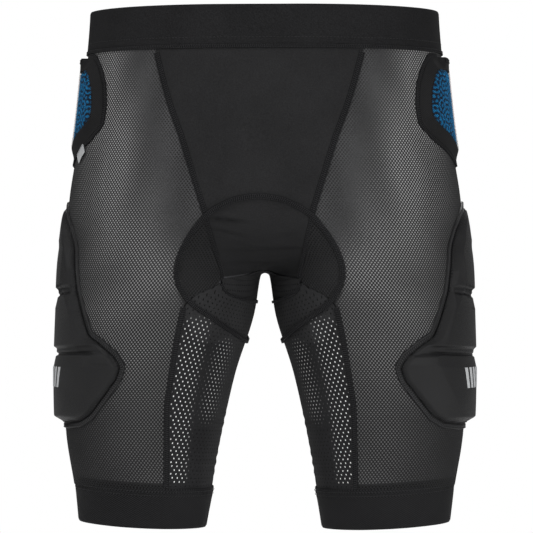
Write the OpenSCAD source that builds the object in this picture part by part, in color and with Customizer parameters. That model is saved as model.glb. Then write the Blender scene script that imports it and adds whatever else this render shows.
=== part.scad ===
// Padded impact shorts for skiing and snowboarding: a knit shell with a woven waistband,
// moulded thigh pads, foam hip and tailbone pads in mesh pockets, a seat pad and gripper cuffs.
// Origin: centre of the waist opening, level with the waistband's top edge. +Z up, front faces -Y,
// the wearer's left is +X. Every panel follows one smooth body surface, body_f(p) = 0.

/* [Waistband] */
// Width across the waist at its top edge
waist_w = 344; // [340:1:346]
// Height of the woven elastic
waistband_h = 40; // [36:1:41]
// Thickness of the woven elastic
waistband_t = 1.6; // [1.2:0.1:2]

/* [Shell] */
// Width across the hips and thighs
hip_w = 399; // [397:1:401]
// Thickness of the knit panels
knit_t = 1; // [0.7:0.1:1.2]
// Gap between neighbouring panels, closed by the seam over it
panel_gap = 1.2; // [0.8:0.1:1.6]
// Width of a flatlock seam
seam_w = 6; // [4:0.5:7]
// Thickness of a flatlock seam
seam_t = 0.7; // [0.5:0.1:0.8]

/* [Cuffs] */
// Height of the folded elastic cuff
cuff_h = 40; // [38:1:42]
// Outer radius of the cuff at the hem
hem_r = 63.7; // [63.3:0.1:64]
// Outer radius of the cuff at its top
cuff_top_r = 69.6; // [69.4:0.1:70]
// Wall thickness of the cuff
cuff_t = 1.8; // [1.4:0.1:1.8]
// Inner radius of the gripper band
gripper_r = 60.8; // [60.4:0.1:60.8]
// Height of the gripper band
gripper_h = 14; // [10:1:16]

/* [Pads] */
// Thickness of the foam hip pads
hip_pad_t = 3.6; // [3:0.1:3.8]
// Height of the thigh pads over the shell
thigh_pad_t = 11.6; // [9:0.2:12]
// Thickness of the foam tailbone pad
tail_pad_t = 6; // [4:0.5:7]
// Thickness of the seat pad's foam at its middle
seat_foam_t = 7; // [5:0.5:8]

/* [Label] */
// Length of the folded side label
label_l = 16; // [12:1:18]
// Width of the folded side label
label_w = 11; // [8:1:12]

/* [Hidden] */
$fn = 96;

knit_black = [0.13, 0.13, 0.14];
mesh_black = [0.10, 0.10, 0.11];
seam_black = [0.07, 0.07, 0.08];
foam_blue = [0.02, 0.42, 0.72];
pad_black = [0.12, 0.12, 0.13];
print_grey = [0.62, 0.63, 0.65];

// The body surface: half widths and depths at stations down from the waist
station = 60;
waist_half = waist_w / 2;
hip_half = hip_w / 2;
torso_half_w = [for (d = [0, 5, 11, 18.5, 19, 14, 8, 8, 8, 8]) waist_half + d];
torso_front = [106, 112, 115, 113, 104, 98, 98, 98, 98, 98];
torso_back = [110, 117, 127, 134, 130, 124, 124, 124, 124, 124];
leg_outer = [for (d = [49, 44, 34, 17.5, 3.5, 1, 0, 2.5, 12, 18]) hip_half - d];
leg_inner = [-60, -55, -45, -28, 0.5, 11, 29.5, 43, 53, 57];
leg_depth = [95, 97, 100, 103, 105, 98, 88.5, 78.5, 67.5, 61.5];
leg_mid_y = [0, 4, 8, 12, 12, 7, 1, -4, -7, -8];
ray_axis_x = [60, 62, 66, 74, 92, 104, 114.5, 120, 120.5, 119.5];
ray_axis_y = 4;
squareness = 2.25;
dome_top = -165;
dome_bottom = -252;
hip_blend = 26;
leg_blend = 16;

// Heights
waistband_low = -waistband_h;
panel_top = waistband_low - 2;
cuff_tilt = 3;
cuff_top_z = -466;
cuff_x = 120.3;
cuff_y = -7;
cuff_mid_z = cuff_top_z - 1 - cuff_h / 2;

// Layers, as heights over the body surface
seam_lo = 0.4;
seam_hi = seam_lo + seam_t;
crossing_lo = seam_hi + 0.4;
pocket_floor = 1.9;
cover_gap = 0.7;
cover_t = 0.6;
sewn_h = seam_hi + 0.3;
seat_top = -3.2;

function clamp(v, lo, hi) = min(max(v, lo), hi);
function mix(a, b, t) = a + (b - a) * t;
function unit(v) = v / norm(v);
function spread(n) = [for (i = [0:n]) i / n];
function flip_x(p) = [-p.x, p.y, p.z];

// Smooth curve through values given at the stations
function at_station(v, z) =
    let (
        t = clamp(-z / station, 0, len(v) - 1.001),
        i = floor(t),
        f = t - i,
        p0 = v[max(i - 1, 0)],
        p1 = v[i],
        p2 = v[i + 1],
        p3 = v[min(i + 2, len(v) - 1)]
    )
    p1 + 0.5 * f * (p2 - p0 + f * (2 * p0 - 5 * p1 + 4 * p2 - p3 + f * (3 * (p1 - p2) + p3 - p0)));

function smooth_min(a, b, k) =
    let (h = clamp(0.5 + 0.5 * (b - a) / k, 0, 1))
    mix(b, a, h) - k * h * (1 - h);

function torso_f(p) =
    let (
        a = at_station(torso_half_w, p.z),
        b = at_station(p.y < 0 ? torso_front : torso_back, p.z),
        t = clamp((dome_top - p.z) / (dome_top - dome_bottom), 0, 1.3),
        rho = pow(pow(abs(p.x) / a, squareness) + pow(abs(p.y) / b, squareness), 1 / squareness)
    )
    (sqrt(rho * rho + pow(t, 4)) - 1) * 110;

function leg_f(p, side) =
    let (
        lo = at_station(leg_inner, p.z),
        hi = at_station(leg_outer, p.z),
        rx = (hi - lo) / 2,
        ry = at_station(leg_depth, p.z),
        dx = (side * p.x - (lo + hi) / 2) / rx,
        dy = (p.y - at_station(leg_mid_y, p.z)) / ry
    )
    (sqrt(dx * dx + dy * dy) - 1) * min(rx, ry);

function body_f(p) =
    smooth_min(smooth_min(leg_f(p, 1), leg_f(p, -1), leg_blend), torso_f(p), hip_blend);

function slope(p) =
    let (e = 0.4, f = body_f(p))
    [body_f(p + [e, 0, 0]) - f, body_f(p + [0, e, 0]) - f, body_f(p + [0, 0, e]) - f] / e;

// Nearest way to the surface, and the surface point on a ray
function snap(p, k = 4) =
    k == 0 ? p : let (g = slope(p)) snap(p - g * body_f(p) / (g * g), k - 1);
function ray(o, d, r, k = 6) =
    k == 0 ? o + r * d
    : let (f = body_f(o + r * d), g = 2 * (body_f(o + (r + 0.5) * d) - f))
      ray(o, d, r - clamp(f / g, -25, 25), k - 1);

// Surface points: round the left leg's axis by angle, and straight in front of or behind it
function leg_pt(a, z) = ray([at_station(ray_axis_x, z), ray_axis_y, z], [cos(a), sin(a), 0], 100);
function face_pt(x, z, way) = ray([x, 20, z], [0, way, 0], 105);
function edge_angle(x, z, way) =
    let (o = [x, ray_axis_y, z], p = ray(o, [0, way, 0], 90))
    atan2(p.y - ray_axis_y, x - at_station(ray_axis_x, z));

// Seam lines of the left half: distance from the centre line at a height, front and back
front_line = [
    [-466, 92], [-386, 90.5], [-331, 82], [-306, 77], [-289, 73], [-279, 62], [-270, 41], [-262, 37],
    [-199, 52], [-126, 74.5], [-99, 84.5], [-72, 92.5], [-42, 100]
];
back_line = [
    [-466, 92], [-386, 90], [-331, 80], [-306, 74], [-289, 69], [-279, 60], [-270, 43], [-262, 39],
    [-199, 56], [-126, 80], [-99, 90], [-72, 98], [-42, 105]
];
function line_x(z, way) = lookup(z, way < 0 ? front_line : back_line);
function line_angle(z, way, shift = 0) = edge_angle(line_x(z, way) + shift, z, way);
function line_pt(z, way) = face_pt(line_x(z, way), z, way);

// The gusset's edge over the inner thigh, from front (u = 0) to back (u = 1)
gusset_top = -268;
gusset_low = -288;
function gusset_edge_z(u) = mix(gusset_low, gusset_top, pow(2 * u - 1, 2));
function inner_angle(u, z) =
    mix(line_angle(z, -1, -panel_gap / 2), line_angle(z, 1, -panel_gap / 2) - 360, u);
function inner_pt(u, z) = leg_pt(inner_angle(u, z), z);

// Bottom edge of the panels above the tilted cuff
function cuff_edge_z(x) = cuff_top_z + tan(cuff_tilt) * (x - cuff_x);

// A height given once for all, or one for each place in a list or grid
function pick(h, i, j) = is_num(h) ? h : is_num(h[i]) ? h[i] : h[i][j];
function lifted_pair(p, lo, hi) = let (n = unit(slope(p))) [p + lo * n, p + hi * n];

// Closed solid between two offsets of a grid of surface points; its rows may be closed loops
module slab(grid, lo, hi, loop = false) {
    rows = len(grid);
    cols = len(grid[0]);
    pairs = [for (i = [0:rows - 1]) for (j = [0:cols - 1])
        lifted_pair(grid[i][j], pick(lo, i, j), pick(hi, i, j))];
    count = rows * cols;
    steps = loop ? cols - 1 : cols - 2;
    function at(i, j) = i * cols + j % cols;
    top = [for (i = [0:rows - 2]) for (j = [0:steps])
        each [[at(i, j), at(i, j + 1), at(i + 1, j + 1)], [at(i, j), at(i + 1, j + 1), at(i + 1, j)]]];
    ends = concat(
        [for (j = [0:steps]) [at(0, j + 1), at(0, j)]],
        [for (j = [0:steps]) [at(rows - 1, j), at(rows - 1, j + 1)]]
    );
    sides = [for (i = [0:rows - 2])
        each [[at(i, 0), at(i + 1, 0)], [at(i + 1, cols - 1), at(i, cols - 1)]]];
    closed_solid(pairs, top, loop ? ends : concat(ends, sides), count);
}

// Closed solid over a centre point and rings of surface points, from the innermost ring out
module dome(centre, rings, lo, hi) {
    n = len(rings[0]);
    last = len(rings) - 1;
    pairs = concat(
        [lifted_pair(centre, pick(lo, 0, 0), pick(hi, 0, 0))],
        [for (i = [0:last]) for (j = [0:n - 1])
            lifted_pair(rings[i][j], pick(lo, i + 1, j), pick(hi, i + 1, j))]
    );
    function at(i, j) = 1 + i * n + j % n;
    top = concat(
        [for (j = [0:n - 1]) [0, at(0, j + 1), at(0, j)]],
        [for (i = [0:last - 1]) for (j = [0:n - 1]) each
            [[at(i, j), at(i + 1, j + 1), at(i + 1, j)], [at(i, j), at(i, j + 1), at(i + 1, j + 1)]]]
    );
    edge = [for (j = [0:n - 1]) [at(last, j), at(last, j + 1)]];
    closed_solid(pairs, top, edge, len(pairs));
}

// The outer faces, the inner faces turned over, and a wall along each open edge
module closed_solid(pairs, top, edges, count) {
    bottom = [for (f = top) [f[2] + count, f[1] + count, f[0] + count]];
    walls = [for (e = edges)
        each [[e[0], e[1], e[1] + count], [e[0], e[1] + count, e[0] + count]]];
    polyhedron(concat([for (q = pairs) q[1]], [for (q = pairs) q[0]]), concat(top, bottom, walls));
}

// Flat band of a given width along a path of surface points
module band(path, width, lo, hi, loop = false) {
    n = len(path);
    last = n - 1;
    sides = [for (i = [0:last])
        let (
            a = path[loop ? (i + last) % n : max(i - 1, 0)],
            b = path[loop ? (i + 1) % n : min(i + 1, last)],
            s = unit(cross(unit(slope(path[i])), b - a)) * width / 2
        )
        [path[i] - s, path[i] + s]];
    slab([[for (q = sides) q[1]], [for (q = sides) q[0]]], lo, hi, loop);
}

module left_side() { children(); }
module right_side() { mirror([1, 0, 0]) children(); }

// Waistband: loops round the torso at two heights
waist_cols = 64;
function torso_pt(a, z) = ray([0, ray_axis_y, z], [cos(a), sin(a), 0], 150);
function torso_loop(z, n = waist_cols) = [for (j = [0:n - 1]) torso_pt(360 * j / n, z)];

module waistband() {
    color(knit_black) slab([torso_loop(0), torso_loop(-waistband_h / 2), torso_loop(waistband_low)],
        0.8 - waistband_t, 0.8, true);
}
module waistband_backing() {
    color(knit_black) slab([torso_loop(-3), torso_loop(waistband_low + 4)],
        0.4 - waistband_t - 0.7, 0.4 - waistband_t, true);
}
module waistband_join_tape() {
    hi = 0.4 - waistband_t - 1.1;
    rows = [for (z = [-4, waistband_low + 5]) [for (x = [9, 0, -9]) face_pt(x, z, 1)]];
    color(seam_black) slab(rows, hi - 0.6, hi);
}
module waistband_seam() {
    color(seam_black) slab([torso_loop(waistband_low - 0.5), torso_loop(waistband_low - 5.5)],
        seam_lo, seam_hi, true);
}

// Front and back centre panels: full rows from seam to seam, then rows that sink into the crotch
fork_z = -234;
crotch_z = -258;
panel_corner_z = -264;
panel_levels = [panel_top, -72, -99, -126, -150, -175, -199, -218, fork_z];
crotch_levels = [for (t = [1, 2]) mix(fork_z, panel_corner_z + 2, t / 2)];
function spine_pt(t, way) =
    snap([0, way < 0 ? mix(-83, -14, t) : mix(106, 34, t), mix(fork_z, crotch_z + 1, pow(t, 1.5))]);
function bowed_row(edge, middle, n) =
    [for (u = spread(n)) let (k = 2 * u - 1)
        snap(mix(middle, k < 0 ? edge : flip_x(edge), abs(k)))];
function centre_rows(way) = concat(
    [for (z = panel_levels) let (x = line_x(z, way) - panel_gap / 2)
        [for (u = spread(10)) face_pt(way * mix(x, -x, u), z, way)]],
    [for (i = [0:1]) let (z = crotch_levels[i])
        bowed_row(face_pt(way * (line_x(z, way) - panel_gap / 2), z, way), spine_pt((i + 1) / 2, way), 10)]
);

module front_panel() { color(knit_black) slab(centre_rows(-1), -knit_t, 0); }
module back_panel() { color(knit_black) slab(centre_rows(1), -knit_t, 0); }

// Gusset: a saddle from the front panel's lower edge, under the crotch, to the back panel
function gusset_row(u) =
    let (
        z = gusset_edge_z(u) + panel_gap,
        past_spine = 1.06,
        ends = u == 0 ? [line_pt(panel_corner_z, -1), spine_pt(past_spine, -1)]
             : u == 1 ? [line_pt(panel_corner_z, 1), spine_pt(past_spine, 1)]
             : [inner_pt(u, z), snap([0, mix(-10, 30, u), crotch_z])]
    )
    bowed_row(flip_x(ends[0]), ends[1], 8);
module gusset() {
    color(knit_black) slab([for (u = spread(8)) gusset_row(u)], -knit_t, 0);
}

// Mesh panels: from the front seam line round the outside of the leg to the back seam line
mesh_levels = [panel_top, -72, -99, -126, -150, -175, -199, -218, -236, -250, -262, -270, -279, -289,
    -306, -331, -358, -386, -412, -438];
function mesh_angles(z) = [line_angle(z, -1, panel_gap / 2), line_angle(z, 1, panel_gap / 2)];
function mesh_row(z, n) = let (a = mesh_angles(z)) [for (u = spread(n)) leg_pt(mix(a[0], a[1], u), z)];
function hem_row(row) = [for (p = row) snap([p.x, p.y, cuff_edge_z(p.x)])];
mesh_cols = 22;
module mesh_panel() {
    color(mesh_black)
        slab(concat([for (z = mesh_levels) mesh_row(z, mesh_cols)], [hem_row(mesh_row(-465, mesh_cols))]),
            -knit_t, 0);
}

// Perforated inner-thigh panels: from the gusset's edge down to the cuff
inner_cols = 12;
inner_rows = 10;
function inner_row(t) =
    [for (u = spread(inner_cols))
        let (z = mix(gusset_edge_z(u), -465, t)) inner_pt(u, z)];
module inner_thigh_panel() {
    rows = [for (t = spread(inner_rows)) inner_row(t)];
    color(knit_black)
        slab([for (i = [0:inner_rows]) let (r = i == inner_rows ? hem_row(rows[i]) : rows[i])
            [for (j = [inner_cols:-1:0]) r[j]]], -knit_t, 0);
}

// Seams along the panel lines
module line_seam(levels, way) {
    color(seam_black) band([for (z = levels) line_pt(z, way)], seam_w, seam_lo, seam_hi);
}
upper_seam_levels = [-47, -72, -99, -126, -150, -175, -199, -220, -240, -255];
thigh_seam_levels = [-292, -306, -318, -331, -350, -368, -386, -412, -438, -460];
module gusset_seam() {
    path = [for (u = spread(20)) let (z = gusset_edge_z(u) + panel_gap / 2) inner_pt(mix(0.02, 0.98, u), z)];
    color(seam_black) band(path, seam_w * 0.6, seam_lo, seam_hi);
}

// Cuffs and grippers: cones about the tilted leg axis
module at_cuff() {
    translate([cuff_x, cuff_y, cuff_mid_z]) rotate([0, -cuff_tilt, 0]) children();
}
module cuff() {
    h = cuff_h / 2;
    color(knit_black) at_cuff() rotate_extrude()
        polygon([[hem_r - cuff_t, -h], [hem_r, -h], [cuff_top_r, h], [cuff_top_r - cuff_t, h]]);
}
module cuff_seam() {
    h = cuff_h / 2;
    taper = (cuff_top_r - hem_r) / cuff_h;
    color(seam_black) at_cuff() for (down = [3, 7]) rotate_extrude() {
        r = cuff_top_r - down * taper;
        polygon([[r + 0.3, h - down - 0.6], [r + 0.8, h - down - 0.6], [r + 0.8, h - down + 0.6],
            [r + 0.3, h - down + 0.6]]);
    }
}
module gripper() {
    low = 2 - cuff_h / 2;
    taper = (cuff_top_r - hem_r) / cuff_h;
    wall = hem_r - cuff_t - 0.3 + 2 * taper;
    color([0.2, 0.2, 0.21]) at_cuff() rotate_extrude()
        polygon([[gripper_r, low], [wall, low], [wall + gripper_h * taper, low + gripper_h],
            [gripper_r, low + gripper_h]]);
}

// Outlines of the side pads, as [angle round the leg axis, height]; both edges mirror in angle
hip_top = -46;
hip_outline = [[27, hip_top], [32, -57], [36, -75], [37, -95], [36.5, -112], [28, -126], [18, -138],
    [8, -148], [0, -151]];
hip_centre = -98;
thigh_outline = [[0, -186], [8, -196], [15, -211], [21, -236], [30, -275], [38, -297], [46, -316],
    [54, -322], [67, -336], [73, -349], [71, -364], [62, -384], [53, -401], [42, -409], [21, -412],
    [0, -412]];
thigh_centre = -345;
thigh_back = 0.86;
function both_sides(half, back = 1) = concat(
    [for (p = half) [-p[0], p[1]]],
    [for (i = [len(half) - 1:-1:0]) if (half[i][0] > 0) [back * half[i][0], half[i][1]]]
);
function scaled_ring(outline, centre, s) =
    [for (q = outline) leg_pt(q[0] * s, mix(centre, q[1], s))];

hip_mouth = [for (a = [18, 9, 0, -9, -18]) [a, hip_top]];
hip_full = concat(both_sides(hip_outline), hip_mouth);
module hip_pad() {
    rings = [for (s = [0.3, 0.6, 0.7, 0.76]) scaled_ring(hip_full, hip_centre, s)];
    top = pocket_floor + hip_pad_t;
    color(foam_blue) dome(leg_pt(0, hip_centre), rings, pocket_floor,
        [top, top, top, top - 0.3, pocket_floor + 1.6]);
}

// A pocket's cover: level over the pad, down to the shell round its edge, and open at its top
function in_mouth(q, top, half) = q[1] > top - 1 && abs(q[0]) < half;
function cover_heights(outline, top, half, level) =
    [for (h = [level, level, level, level, mix(sewn_h, level, 0.45), sewn_h])
        [for (q = outline) in_mouth(q, top, half) ? level : h]];
function raised(heights, t) = [for (row = heights) [for (h = row) h + t]];
cover_scales = [0.3, 0.6, 0.8, 0.89, 0.985];
module hip_pocket_cover() {
    under = cover_heights(hip_full, hip_top, 20, pocket_floor + hip_pad_t + cover_gap);
    color(mesh_black) dome(leg_pt(0, hip_centre),
        [for (s = cover_scales) scaled_ring(hip_full, hip_centre, s)], under, raised(under, cover_t));
}
module hip_pocket_binding() {
    path = [for (i = [0:len(hip_full) - len(hip_mouth) - 1]) leg_pt(hip_full[i][0], hip_full[i][1])];
    color(seam_black) band(path, seam_w, seam_lo, seam_hi);
}

thigh_full = both_sides(thigh_outline, thigh_back);
module thigh_pad() {
    top = thigh_pad_t;
    color(pad_black) dome(leg_pt(0, thigh_centre),
        [for (s = [0.3, 0.6, 0.8, 0.9, 0.945]) scaled_ring(thigh_full, thigh_centre, s)],
        seam_lo, [top, top, top - 0.3, top - 1.4, top - 4.5, 1.6]);
}
module thigh_pad_flange() {
    color(pad_black) slab([for (s = [0.955, 1]) scaled_ring(thigh_full, thigh_centre, s)],
        seam_lo, 1.6, true);
}
// Slanted bars printed on the lower block of the pad
module thigh_pad_print() {
    lo = thigh_pad_t + 0.15;
    color(print_grey) for (k = [0:4])
        slab([for (z = [-352, -370])
            [for (d = [3.4, 0]) leg_pt(-(2 + 6 * k + d + (z + 370) * 0.12), z)]], lo, lo + 0.35);
}

// Tailbone pad in its pocket at the centre of the back
tail_top = -50;
tail_half = [[0, tail_top], [25, tail_top], [50, tail_top], [57, -64], [60, -90], [58, -115], [50, -140],
    [36, -160], [18, -171], [0, -174]];
tail_centre = -112;
tail_full = concat(tail_half, [for (i = [len(tail_half) - 2:-1:1]) [-tail_half[i][0], tail_half[i][1]]]);
function tail_ring(s) = [for (q = tail_full) face_pt(q[0] * s, mix(tail_centre, q[1], s), 1)];
module tailbone_pad() {
    top = pocket_floor + tail_pad_t;
    color(foam_blue) dome(face_pt(0, tail_centre, 1), [for (s = [0.3, 0.6, 0.74, 0.8]) tail_ring(s)],
        pocket_floor, [top, top, top, top - 0.8, pocket_floor + 2]);
}
module tailbone_pocket_cover() {
    under = cover_heights(tail_full, tail_top, 30, pocket_floor + tail_pad_t + cover_gap);
    color(mesh_black) dome(face_pt(0, tail_centre, 1), [for (s = cover_scales) tail_ring(s)],
        under, raised(under, cover_t));
}
module tailbone_pocket_binding() {
    path = [for (i = [2:len(tail_full) - 2]) face_pt(tail_full[i][0], tail_full[i][1], 1)];
    color(seam_black) band(path, seam_w, seam_lo, seam_hi);
}

// Seat pad outline: [height, half width] in front and behind, joined under each thigh
seat_front = [[-187, 22], [-198, 45], [-214, 61], [-234, 74], [-255, 81], [-272, 78]];
seat_back = [[-188, 26], [-194, 48], [-206, 66], [-222, 78], [-242, 84], [-260, 84], [-275, 79]];
seat_corner = -288;
seat_low = -326;
under_angles = [-112, -135, -158, -180, -202, -225, -248];
function under_z(a) = mix(seat_low, seat_corner, pow(abs(a + 180) / 68, 1.8));
function seat_edge(s, t) = face_pt(s[1], s[0], t);
seat_edges = concat(
    [for (s = seat_front) seat_edge(s, -1)],
    [for (a = under_angles) leg_pt(a, under_z(a))],
    [for (i = [len(seat_back) - 1:-1:0]) seat_edge(seat_back[i], 1)]
);
// Rows before, under and behind the crotch; the last two of the front and the first two behind
// lie where the panels sink into it
seat_sunk = 2;
under_first = len(seat_front);
back_first = under_first + len(under_angles);
seat_last = back_first + len(seat_back) - 1;
function seat_middle(i) =
    i < under_first - seat_sunk ? face_pt(0, seat_front[i][0], -1)
    : i < under_first ? spine_pt((i - under_first + seat_sunk + 1) / (seat_sunk + 1), -1)
    : i < back_first ? snap([0, mix(-12, 32, (i - under_first) / (len(under_angles) - 1)), crotch_z])
    : i < back_first + seat_sunk ? spine_pt((back_first + seat_sunk - i) / (seat_sunk + 1), 1)
    : face_pt(0, seat_back[seat_last - i][0], 1);
seat_cols = 16;
seat_inset = 0.92;
seat_edge_t = 1.2;
function seat_row(i, s) =
    bowed_row(flip_x(mix(seat_middle(i), seat_edges[i], s)), seat_middle(i), seat_cols);
function seat_grid(s) = [for (i = [0:seat_last]) seat_row(i, s)];
function taper(u) = min(1, 4 * min(u, 1 - u));
function seat_depth(i, j) =
    seat_edge_t + (seat_foam_t - seat_edge_t) * taper(i / seat_last) * taper(j / seat_cols);
function seat_depths(add) = [for (i = [0:seat_last]) [for (j = [0:seat_cols])
    seat_top - seat_depth(i, j) - add]];
module seat_pad_foam() {
    color([0.3, 0.3, 0.32]) slab(seat_grid(seat_inset), seat_depths(0), seat_top);
}
module seat_pad_cover() {
    color([0.16, 0.16, 0.17]) slab(seat_grid(1), seat_depths(0.9), seat_depths(0.3));
}
module seat_pad_seam() {
    path = concat(
        [face_pt(0, -184, -1)], seat_edges, [face_pt(0, -185, 1)],
        [for (i = [seat_last:-1:0]) flip_x(seat_edges[i])]
    );
    color(seam_black) band(path, seam_w * 0.8, crossing_lo, crossing_lo + seam_t, true);
}

// Labels: a folded tab at the lower front edge of the right hip pocket, and one inside the waist
label_lo = seam_hi + 0.3;
label_root = [-22, -137];
label_tilt = 40;
module side_label() {
    o = leg_pt(label_root[0], label_root[1]);
    n = unit(slope(o));
    across = unit(cross(n, [0, 0, 1]));
    up = cross(across, n);
    along = cos(label_tilt) * across + sin(label_tilt) * up;
    out = cross(n, along);
    grid = [for (v = [0, label_w]) [for (u = [label_l / 2, -label_l / 2]) snap(o + u * along + v * out)]];
    color([0.55, 0.56, 0.58]) slab(grid, label_lo, label_lo + 1.2);
}
module care_label() {
    color([0.85, 0.85, 0.85]) slab([for (z = [-14, -48]) [for (x = [60, 30]) face_pt(x, z, 1)]], -5.2, -4.6);
}

waistband();
waistband_backing();
waistband_join_tape();
waistband_seam();
front_panel();
back_panel();
gusset();
left_side() mesh_panel();  // left_mesh_panel
right_side() mesh_panel();  // right_mesh_panel
left_side() inner_thigh_panel();  // left_inner_thigh_panel
right_side() inner_thigh_panel();  // right_inner_thigh_panel
left_side() line_seam(upper_seam_levels, -1);  // left_front_seam
right_side() line_seam(upper_seam_levels, -1);  // right_front_seam
left_side() line_seam(upper_seam_levels, 1);  // left_back_seam
right_side() line_seam(upper_seam_levels, 1);  // right_back_seam
left_side() line_seam(thigh_seam_levels, -1);  // left_front_thigh_seam
right_side() line_seam(thigh_seam_levels, -1);  // right_front_thigh_seam
left_side() line_seam(thigh_seam_levels, 1);  // left_back_thigh_seam
right_side() line_seam(thigh_seam_levels, 1);  // right_back_thigh_seam
left_side() gusset_seam();  // left_gusset_seam
right_side() gusset_seam();  // right_gusset_seam
left_side() cuff();  // left_cuff
right_side() cuff();  // right_cuff
left_side() cuff_seam();  // left_cuff_seam
right_side() cuff_seam();  // right_cuff_seam
left_side() gripper();  // left_gripper
right_side() gripper();  // right_gripper
left_side() hip_pad();  // left_hip_pad
right_side() hip_pad();  // right_hip_pad
left_side() hip_pocket_cover();  // left_hip_pocket_cover
right_side() hip_pocket_cover();  // right_hip_pocket_cover
left_side() hip_pocket_binding();  // left_hip_pocket_binding
right_side() hip_pocket_binding();  // right_hip_pocket_binding
left_side() thigh_pad();  // left_thigh_pad
right_side() thigh_pad();  // right_thigh_pad
left_side() thigh_pad_flange();  // left_thigh_pad_flange
right_side() thigh_pad_flange();  // right_thigh_pad_flange
left_side() thigh_pad_print();  // left_thigh_pad_print
right_side() thigh_pad_print();  // right_thigh_pad_print
tailbone_pad();
tailbone_pocket_cover();
tailbone_pocket_binding();
seat_pad_foam();
seat_pad_cover();
seat_pad_seam();
right_side() side_label();
care_label();
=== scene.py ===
"""Padded impact shorts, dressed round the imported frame.

The shell is knit cloth over one smooth body surface, with flatlock seams, a woven waistband, moulded
thigh pads, blue foam pads in mesh pockets, a seat pad and gripper cuffs. The wearer's left is +X, the
front faces -Y and +Z is up. Pattern sizes are in millimetres, as a cutter writes them; each mesh is
turned to metres when it is made.
"""

import sys
import logging
import math
from collections.abc import Callable
from dataclasses import dataclass
from enum import Enum

import bmesh
import bpy
import numpy as np
from mathutils import Matrix, Vector


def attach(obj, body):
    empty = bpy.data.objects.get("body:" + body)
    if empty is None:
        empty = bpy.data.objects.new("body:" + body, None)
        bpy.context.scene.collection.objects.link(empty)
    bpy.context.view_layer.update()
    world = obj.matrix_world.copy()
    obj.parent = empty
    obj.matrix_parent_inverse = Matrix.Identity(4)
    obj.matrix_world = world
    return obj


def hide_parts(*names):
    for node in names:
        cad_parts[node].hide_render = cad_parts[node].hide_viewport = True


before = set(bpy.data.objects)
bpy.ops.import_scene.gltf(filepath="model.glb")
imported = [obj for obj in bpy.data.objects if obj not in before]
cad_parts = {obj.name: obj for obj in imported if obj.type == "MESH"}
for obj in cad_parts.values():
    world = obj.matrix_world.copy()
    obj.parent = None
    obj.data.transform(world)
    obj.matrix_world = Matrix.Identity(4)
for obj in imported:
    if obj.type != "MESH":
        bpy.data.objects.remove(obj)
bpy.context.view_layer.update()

log = logging.getLogger("shorts")
MM = 0.001
SHORTS = "shorts"
Array = np.ndarray
Normals = Callable[[Array], Array]
Socket = bpy.types.NodeSocket
Shader = bpy.types.Node
Value = Socket | float
Colour = Socket | tuple


class Side(Enum):
    """The wearer's two sides, as the sign of X."""

    LEFT = 1
    RIGHT = -1

    def named(self, piece: str) -> str:
        """Gives a piece's name on this side."""
        return f"{self.name.lower()}_{piece}"

    def turn(self, points: Array) -> Array:
        """Gives the left side's points on this side."""
        return points * np.array([self.value, 1.0, 1.0])


class Way(Enum):
    """The two faces of the shorts, as the sign of Y."""

    FRONT = -1
    BACK = 1


def smoothstep(t: Array) -> Array:
    """Eases from 0 to 1, and holds beyond."""
    t = np.clip(t, 0.0, 1.0)
    return t * t * (3.0 - 2.0 * t)


def bump_at(x: Array, middle: Array, width: Array) -> Array:
    """A bell of height 1 and the given half width about a middle."""
    return np.exp(-(((x - middle) / width) ** 2))


def soft_min(a: Array, b: Array, k: float) -> Array:
    """The smaller of two fields, blended over a width k."""
    h = np.clip(0.5 + 0.5 * (b - a) / k, 0.0, 1.0)
    return b + (a - b) * h - k * h * (1.0 - h)


def unit(v: Array) -> Array:
    """Scales vectors to length 1."""
    return v / np.maximum(np.linalg.norm(v, axis=-1, keepdims=True), 1e-12)


def curve_at(values: Array, t: Array) -> Array:
    """Reads a smooth curve that runs through values, at positions counted in values."""
    i = np.floor(t).astype(int)
    f = (t - i).reshape(t.shape + (1,) * (values.ndim - 1))
    p0, p1, p2, p3 = (values[np.clip(i + k, 0, len(values) - 1)] for k in (-1, 0, 1, 2))
    return p1 + 0.5 * f * (p2 - p0 + f * (2 * p0 - 5 * p1 + 4 * p2 - p3 + f * (3 * (p1 - p2) + p3 - p0)))


# ---------------------------------------------------------------- the body surface


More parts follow.
